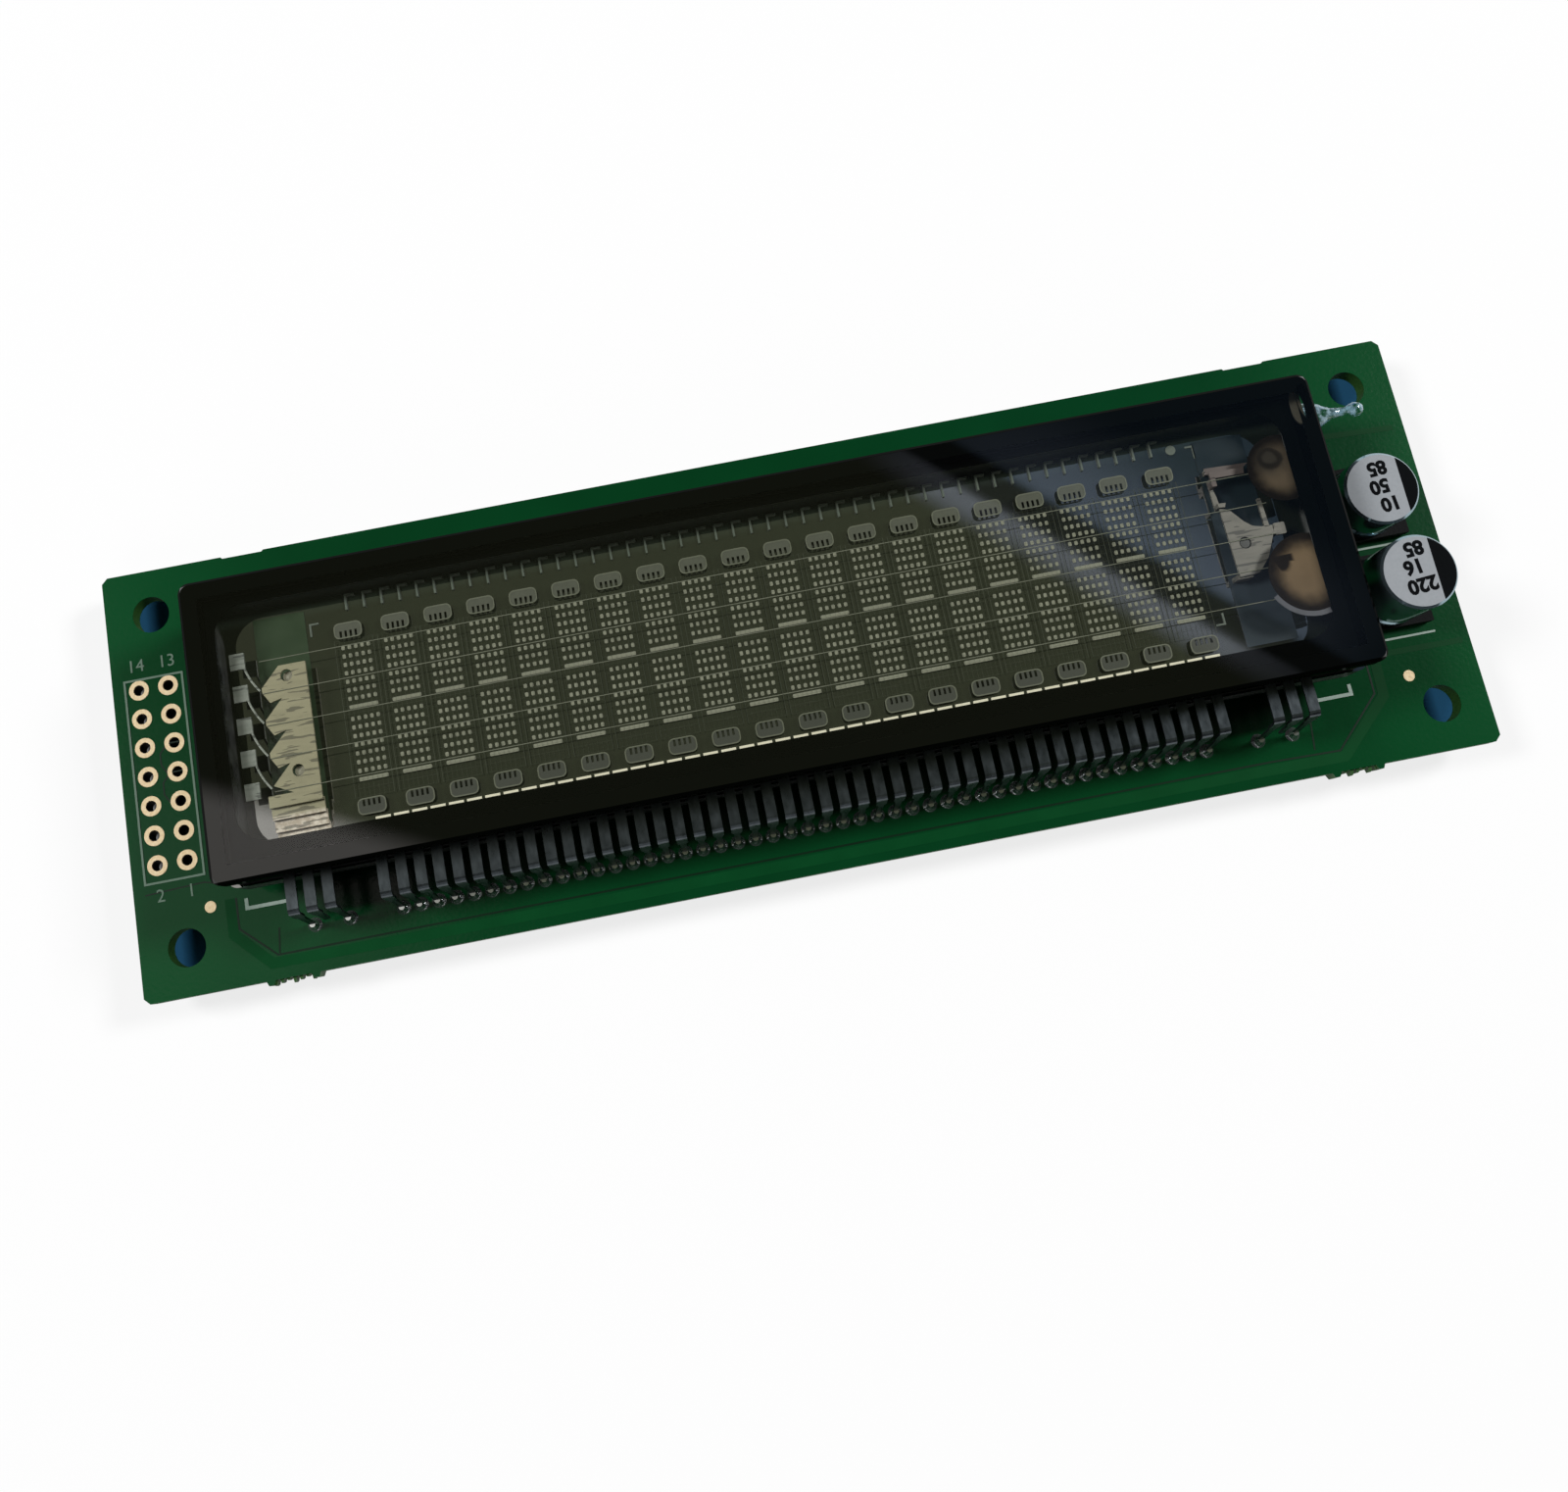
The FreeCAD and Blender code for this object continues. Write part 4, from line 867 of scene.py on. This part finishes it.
def sheet_metal(name, dark, light, metallic, roughness, cracks=0.9, foot_reflection=None):
    """Rolled sheet: streaks along x, a few stains, dark cracks, and a painted reflection in two other tones
    on the foot.
    """
    finish = Finish(name)
    streak = finish.noise(0.35, 3.0, stretch=(0.15, 1, 1))
    colour = streak.blend(dark, light)
    if foot_reflection is not None:
        foot_reflection_colour = finish.noise(0.5).ramp(0.35, 0.65).blend(*foot_reflection)
        colour = finish.y.ramp(FOOT_LOW, FOOT_HIGH).blend(foot_reflection_colour, colour)
    stain = finish.noise(1.3, 3.0).ramp(0.55, 0.75)
    colour = (stain * 0.5).blend(colour, dark)
    crack = finish.noise(0.75, 2.0, stretch=(0.3, 2.2, 1)).ramp(cracks, cracks + 0.03)
    colour = (crack * 0.7).blend(colour, tuple(c * 0.25 for c in dark))
    finish.set(Base_Color=colour, Metallic=metallic, Roughness=streak * 0.15 + roughness)
    finish.bump(streak, 0.008)
    return finish


# The support's foot is painted in pale pink tones, as a painted reflection of the pale wall above.
paint(sheet_metal("support_sheet", rgb(128, 123, 96), rgb(152, 147, 116), 0.15, 0.4, 0.575,
                  foot_reflection=(rgb(172, 158, 138), rgb(214, 204, 186))), "filament_support")
paint(sheet_metal("spring_sheet", rgb(92, 98, 88), rgb(152, 156, 146), 0.3, 0.4, 0.6), "filament_springs")
paint(sheet_metal("getter_strip", rgb(60, 52, 42), rgb(104, 92, 74), 0.4, 0.4), "getter_holders")

# %% [markdown]
# At the right, an arm of sheet stands on small feet and holds the heater wires' springs. It is
# curved like a sickle, has a round hole with a dark peg, and ends in a folded lip. The outline of
# the arm is resampled round the hole, so that one strip of faces joins them.

# %% Arm and its lip
SHEET_LOW, SHEET_HIGH, PLATE_TOP = 7.2, 7.45, 5.78
PEG_X, PEG_Y, PEG_HOLE, HOLE_SIDES = 38.43, 0.92, 0.5, 32
ARM = [(37.25, -1.85), (38.9, -1.78), (40.0, -0.6), (40.85, 1.15), (41.25, 2.0), (40.4, 1.95),
       (39.4, 2.2), (38.7, 2.8), (38.2, 3.5), (37.6, 4.2), (37.1, 4.25)]
arm_metal = sheet_metal("arm_sheet", rgb(88, 86, 77), rgb(118, 114, 104), 0.1, 0.4, 0.575)
lip_metal = sheet_metal("folded_strip", rgb(68, 60, 56), rgb(98, 86, 80), 0.2, 0.35)
arm, lip = Shape(), Shape()
arm.hollow_plate(around(ARM, PEG_X, PEG_Y), circle(PEG_X, PEG_Y, PEG_HOLE, HOLE_SIDES), SHEET_LOW, SHEET_HIGH)
for outline, low, high in (
        ([(37.1, 4.25), (37.6, 4.2), (37.5, 5.4), (37.2, 6.9), (37.05, 6.9)],
         SHEET_LOW - 0.9, SHEET_LOW - 0.7),
        ([(37.1, 4.25), (37.6, 4.2), (37.75, 4.55), (37.05, 4.6)], SHEET_LOW - 0.8, SHEET_HIGH),
        ([(40.35, 1.95), (40.75, 1.95), (40.65, 4.4), (40.35, 4.4)], SHEET_LOW, SHEET_HIGH),
        (rounded(41.55, 1.6, 0.95, 1.0, 0.12), SHEET_LOW - 0.15, SHEET_HIGH - 0.05),
        ([(40.85, 1.15), (41.4, 1.3), (41.4, 1.7), (41.2, 2.0)], SHEET_LOW, SHEET_HIGH),
        (rectangle(37.8, -1.75, 1.3, 0.4), PLATE_TOP, SHEET_LOW),
        (rectangle(37.8, 7.7, 1.3, 0.4), PLATE_TOP, SHEET_LOW - 0.5),
        (rectangle(41.55, 1.6, 0.4, 0.4), PLATE_TOP, SHEET_LOW)):
    arm.plate(outline, low, high)
for outline, low, high in (
        ([(37.05, 6.1), (37.45, 6.1), (37.45, 6.85), (37.05, 6.85)], SHEET_LOW - 0.8, SHEET_HIGH),
        ([(37.05, 6.8), (39.9, 6.75), (40.0, 7.3), (37.05, 7.35)], SHEET_LOW, SHEET_HIGH),
        ([(36.95, 7.35), (40.0, 7.3), (40.7, 7.75), (36.95, 7.9)], SHEET_LOW - 0.5, SHEET_LOW - 0.3)):
    lip.plate(outline, low, high)
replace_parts(arm.make("filament_arm", arm_metal, "nickel"), "filament_carrier")
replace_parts(lip.make("filament_arm_lip", lip_metal, "nickel"), "filament_carrier")

# %% [markdown]
# Two round posts stand at the left, and the peg fills the arm's hole: turned parts, so a profile
# and a place are enough for each. The base plates have a thin film, greenish on the left one and
# bluish on the right one, so one finish that changes with x serves both.

# %% Posts, peg and base plates
for name, metal, profile, places in (
        ("support_posts", grained("post_metal", 0.4, rgb(140, 136, 114), rgb(176, 172, 150), 0.5),
         ((0.3, PLATE_TOP), (0.32, 6.5), (0.46, 6.75), (0.44, 6.95), (0.001, 7.0)),
         ((-40.91, 5.06), (-40.91, -2.84))),
        ("arm_peg", grained("dark_steel", 0.3, rgb(50, 50, 46), rgb(64, 64, 59), 0.5),
         ((0.46, SHEET_LOW), (0.46, 7.3), (0.4, 7.36), (0.001, 7.37)), ((PEG_X, PEG_Y),))):
    pins = Shape()
    for x, y in places:
        pins.turned(profile, (x, y, 0))
    pins.make(name, metal, "nickel", smooth=True)

plates = Finish("plate_metal")
veil = plates.noise(1.2)
left_plate = veil.blend(rgb(42, 57, 39), rgb(52, 68, 47))
# The right plate is painted darker towards its top, as painted shade.
right_plate = plates.y.ramp(-4.0, 6.0).blend(rgb(52, 60, 65), rgb(28, 38, 41))
plates.set(Base_Color=plates.x.ramp(-5.0, 5.0).blend(left_plate, right_plate), Roughness=veil * 0.1 + 0.15)
paint(plates, "base_plates")

# %% [markdown]
# The getter is a metal that was flashed off to clean the vacuum. Its film on the glass is a brown
# mirror with a dark edge, and where the flash was hottest it burnt black. Each mark is a distance
# from its own point, made a little uneven by noise, and the darkest mark wins.

# %% Getter films
film = Finish("getter_film")
mottle = film.noise(2.2, 4.0)
warp = film.noise(1.4, 2.0) * 0.9


def reach_from(x, y):
    """Distance from a point on the film, a little uneven."""
    return ((film.x - x) ** 2.0 + (film.y - y) ** 2.0) ** 0.5 + warp - 0.45


LOWER_X, LOWER_Y = 42.45, -2.6
rim_dark = (reach_from(42.7, 6.4) / 2.85).smaller(reach_from(LOWER_X, LOWER_Y) / 3.275).ramp(0.45, 0.93)
lower_brown = mottle.blend(rgb(92, 77, 57), rgb(120, 102, 78))
upper_brown = mottle.blend(rgb(62, 54, 42), rgb(90, 78, 62))
soot = 1 - reach_from(41.8, 7.2).ramp(0.4, 2.0)
brown = (soot * 0.8).blend(film.y.ramp(1.0, 3.0).blend(lower_brown, upper_brown), rgb(38, 37, 33))
burn = 1 - reach_from(40.5, -1.6).ramp(0.45, 1.0)
tail = 1 - (film.x - 40.6).size().larger((film.y + 1.15).size() / 0.35).ramp(0.7, 1.1)
curl = 1 - (reach_from(41.9, 7.3) - 0.75).size().ramp(0.1, 0.45)
marks = rim_dark.larger(burn).larger(tail).larger(curl * 0.7)
film.set(Base_Color=(marks * 0.95).blend(brown, rgb(12, 9, 7)), Roughness=0.4, Specular_IOR_Level=0.0)
paint(film, "getter_mirrors")

FRINGE_RADIUS, FRINGE_WIDTH, FRINGE_LOW, FRINGE_HIGH = 3.5, 0.42, 8.34, 8.38
fringe = grained("film_fringe", 0.8, rgb(48, 50, 54), rgb(78, 78, 84), 0.35)
arc = [math.radians(degrees) for degrees in range(205, 286, 8)]
path = [(LOWER_X + FRINGE_RADIUS * math.cos(a), LOWER_Y + FRINGE_RADIUS * math.sin(a)) for a in arc]
film_edge = Shape()
film_edge.ribbon(path, FRINGE_WIDTH, FRINGE_LOW, FRINGE_HIGH)
film_edge.make("film_edge", fringe, "getter_mirror")

# %% [markdown]
# ## Leads
#
# The leads are punched from alloy strip, sealed into the tube's edge, bent down and soldered into
# the board. Each is wide to below the bend and then narrows to a tail. Three at each end feed the
# heater wires, and the middle one of them is cut short. A loft of small rectangles follows the
# lead's own path, because an extruded side view couldn't change its width.

# %% Lead path
LEAD_Z, LEAD_START, LEAD_OUT = 5.85, 11.9, 15.3
LEAD_THICK, LEAD_HALF, BEND = 0.2, 0.45, 0.4
LEAN, LEAN_TOP = 0.75, 5.4
TAIL = ((4.6, 0.45), (4.2, 0.42), (3.8, 0.26), (1.6, 0.24), (0.3, 0.22), (-2.3, 0.2))


def lead_path(x, end):
    """Points and half widths of one lead, from the seal down to its end."""
    route = [(LEAD_START, LEAD_Z, LEAD_HALF), (LEAD_OUT - 0.75, LEAD_Z, LEAD_HALF)]
    for step in range(5):
        out, up = math.sin(math.radians(90 * step / 4)), math.cos(math.radians(90 * step / 4))
        route.append((LEAD_OUT - 0.5 + BEND * out, LEAD_Z - BEND + BEND * up, LEAD_HALF))
    for z, half in TAIL:
        if z >= end:
            route.append((LEAD_OUT - 0.1 + LEAN * (LEAN_TOP - max(z, 0)) / LEAN_TOP, z, half))
    return [(x, TUBE_Y - out, z) for out, z, half in route], [half for out, z, half in route]


# %% Leads and solder
lead_metal = grained("tinned_alloy", 0.6, rgb(50, 56, 60), rgb(92, 99, 103), 0.22, metallic=0.9,
                     wear=0.15, relief=0.01, detail=2.0, stretch=(1, 0.5, 0.5))
solder = grained("solder", 0.5, rgb(160, 163, 164), rgb(212, 215, 215), 0.06, metallic=0.9, wear=0.1)
FILAMENT_LEADS = (-41.7, 39.3)
THROUGH_END, CUT_END = -3.0, 1.5
UPPER_FILLET = ((0.62, 0.0), (0.52, 0.12), (0.36, 0.32), (0.27, 0.75), (0.24, 0.9))
LOWER_FILLET = ((0.24, -2.55), (0.28, -2.35), (0.4, -1.95), (0.56, -1.72), (0.66, -1.6))
soldered = lead_places + [middle + side * LEAD_PITCH for middle in FILAMENT_LEADS for side in (-1, 1)]
leads, joints = Shape(), Shape()
for x in soldered:
    leads.strip(*lead_path(x, THROUGH_END), LEAD_THICK)
    for fillet in (UPPER_FILLET, LOWER_FILLET):
        joints.turned(fillet, (x, TUBE_Y - (LEAD_OUT - 0.1 + LEAN), 0), sides=14)
for x in FILAMENT_LEADS:
    leads.strip(*lead_path(x, CUT_END), LEAD_THICK)
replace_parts(leads.make("tube_leads", lead_metal, "lead"), "signal_leads", "filament_leads_left",
            "filament_leads_right")
joints.make("solder_joints", solder, "lead", smooth=True)

# %% [markdown]
# ## Exhaust tip
#
# The tube was pumped out through a thin glass pipe, which was then melted off. What is left is a
# stub that tapers to a thread with a small bead at its end, so its profile is turned about x.

# %% Exhaust tip
TIP_PLACE = (46.2, 11.3, 4.3)
TIP_PROFILE = ((0.02, 0.0), (1.4, 0.0), (1.38, 0.8), (1.3, 1.7), (1.1, 2.5), (0.75, 3.1), (0.5, 3.7),
               (0.38, 4.4), (0.36, 5.0), (0.5, 5.35), (0.64, 5.75), (0.62, 6.1), (0.42, 6.4), (0.15, 6.5))
# The pale bluish patches on the tip are painted highlights.
tip_glass = glass("tip_glass", (0.88, 0.95, 0.98), rgb(172, 200, 214),
                  painted=lambda finish: finish.noise(0.8).ramp(0.42, 0.62) * 0.75)
tip = Shape()
tip.turned(TIP_PROFILE, TIP_PLACE, axis="x", sides=28)
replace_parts(tip.make("drawn_tip", tip_glass, "tip", smooth=True), "exhaust_tip")

# %% [markdown]
# ## Capacitors
#
# The two cans are drawn aluminium with a bare side and a lacquered top. A black segment marks the
# negative pin, and the values are stamped in black. The print is real geometry, a hundredth of a
# millimetre high, so that it stays sharp from any distance.

# %% Capacitor finishes
# The cans' metal colour is grey with a blue-teal tint, and the tint is painted reflection.
paint(grained("aluminium", 0.2, rgb(132, 154, 162), rgb(152, 174, 182), 0.07, metallic=0.9, wear=0.06),
      "large_capacitor_can", "small_capacitor_can")
paint(grained("base_moulding", 0.15, rgb(4, 5, 6), rgb(10, 11, 13), 0.6, 0.1, relief=0.02),
      "large_capacitor_base", "small_capacitor_base")
lacquer = grained("can_lacquer", 0.3, rgb(140, 145, 149), rgb(154, 158, 163), 0.5, 0.2)
black_ink = grained("black_ink", 0.3, rgb(3, 5, 7), rgb(7, 10, 12), 0.7, 0.05)

# %% [markdown]
# A text object gives the numbers. It is made into a mesh straight away, and the mesh is turned and
# moved, so that its own coordinates are the module's, as the materials expect.

# %% Numbers
FONT_SCALE = 1.4


def text_piece(name, words, place, height, turn, finish, thick=0.03, weight=0.0):
    """Raised plain numbers."""
    curve = bpy.data.curves.new(name, "FONT")
    curve.body = words
    curve.size = height * MM * FONT_SCALE
    curve.align_x, curve.align_y = "CENTER", "CENTER"
    curve.extrude = thick / 2 * MM
    curve.resolution_u = 3
    curve.offset = weight * MM
    helper = bpy.data.objects.new(name + "_outline", curve)
    mesh = bpy.data.meshes.new_from_object(helper)
    bpy.data.objects.remove(helper)
    mesh.materials.clear()
    mesh.materials.append(finish.material)
    x, y, z = place
    move = Matrix.Translation(Vector((x, y, z + thick / 2)) * MM)
    mesh.transform(move @ Matrix.Rotation(math.radians(turn), 4, "Z"))
    piece = bpy.data.objects.new(name, mesh)
    bpy.context.scene.collection.objects.link(piece)
    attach(piece, "root")
    print(f"{name}: {words}")


def segment(x, y, radius, chord, steps=24):
    """The part of a circle to the right of a chord."""
    limit = math.acos(chord / radius)
    return [(x + radius * math.cos(a), y + radius * math.sin(a))
            for a in (-limit + 2 * limit * i / steps for i in range(steps + 1))]


# %% Printing on the cans and the board
LACQUER_RADIUS, INK_THICK = 2.95, 0.01
VALUE_HEIGHT, VALUE_TURN, VALUE_WEIGHT = 1.18, 184, 0.07
PIN_HEIGHT = 1.1
for which, x, y, top, chord, rows in (
        ("large", 51.6, -4.2, 7.7, 1.35, (("85", 0.0, 2.0), ("16", -0.4, 0.5), ("220", -0.1, -1.1))),
        ("small", 51.8, 3.75, 5.4, 1.75, (("85", 0.0, 1.8), ("50", -0.2, 0.2), ("10", 0.3, -1.4)))):
    printed = top + INK_THICK
    face = Shape()
    face.plate(circle(x, y, LACQUER_RADIUS, 48), top, printed)
    face.make(f"{which}_can_lacquer", lacquer, f"{which}_can")
    mark = Shape()
    mark.plate(segment(x, y, LACQUER_RADIUS + 0.02, chord), printed, printed + INK_THICK)
    mark.make(f"{which}_can_mark", black_ink, f"{which}_can")
    for row, (words, along, across) in enumerate(rows):
        text_piece(f"{which}_can_value_{row}", words, (x + along, y + across, printed), VALUE_HEIGHT,
                   VALUE_TURN, black_ink, 2 * INK_THICK, VALUE_WEIGHT)

for words, x, y in (("14", -55.8, 10.1), ("13", -53.1, 10.1), ("2", -55.7, -9.9), ("1", -53.1, -9.9)):
    text_piece(f"pin_number_{words}", words, (x, y, 0.0), PIN_HEIGHT, 0, ink)

# %% [markdown]
# ## Rear side
#
# The parts under the board are guessed from what such a module needs: a driver chip, a memory
# chip, a coil for the supply converter, diodes, and small ceramic parts. Each has the two close
# tones and the fine grain of moulded plastic, fired ceramic or plated metal.

# %% Rear materials
def rear_part(names, name, grain, dark, light, roughness, metallic=0.0):
    """A moulded, fired or plated part, with a little wear and relief."""
    paint(grained(name, grain, dark, light, roughness, metallic=metallic, wear=0.12, relief=0.01), *names)


rear_part(["driver_chip", "memory_chip"], "moulding_compound", 0.12, rgb(24, 25, 27), rgb(40, 41, 44), 0.5)
rear_part(["coil_shield", "coil_core"], "ferrite", 0.2, rgb(38, 38, 40), rgb(60, 60, 62), 0.55)
rear_part(["ceramic_resonator"], "brown_ceramic", 0.3, rgb(150, 112, 62), rgb(178, 138, 84), 0.45)
rear_part(["rectifier_diodes"], "diode_moulding", 0.15, rgb(20, 21, 23), rgb(38, 39, 42), 0.45)
rear_part(["ceramic_capacitors"], "ceramic_body", 0.2, rgb(150, 124, 92), rgb(182, 154, 118), 0.4)
rear_part(["chip_resistors"], "resistor_glaze", 0.2, rgb(22, 24, 28), rgb(42, 44, 50), 0.35)
rear_part(["large_capacitor_pins", "small_capacitor_pins", "driver_pins", "memory_pins", "coil_pins"],
          "tin_plate", 0.2, rgb(150, 150, 146), rgb(194, 194, 188), 0.25, 0.9)

seen_box = [list(corner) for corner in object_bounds()]
for name, box in (("cad", cad_box), ("visual", seen_box)):
    print(name, "box in mm:", [[round(v / MM, 2) for v in corner] for corner in box])
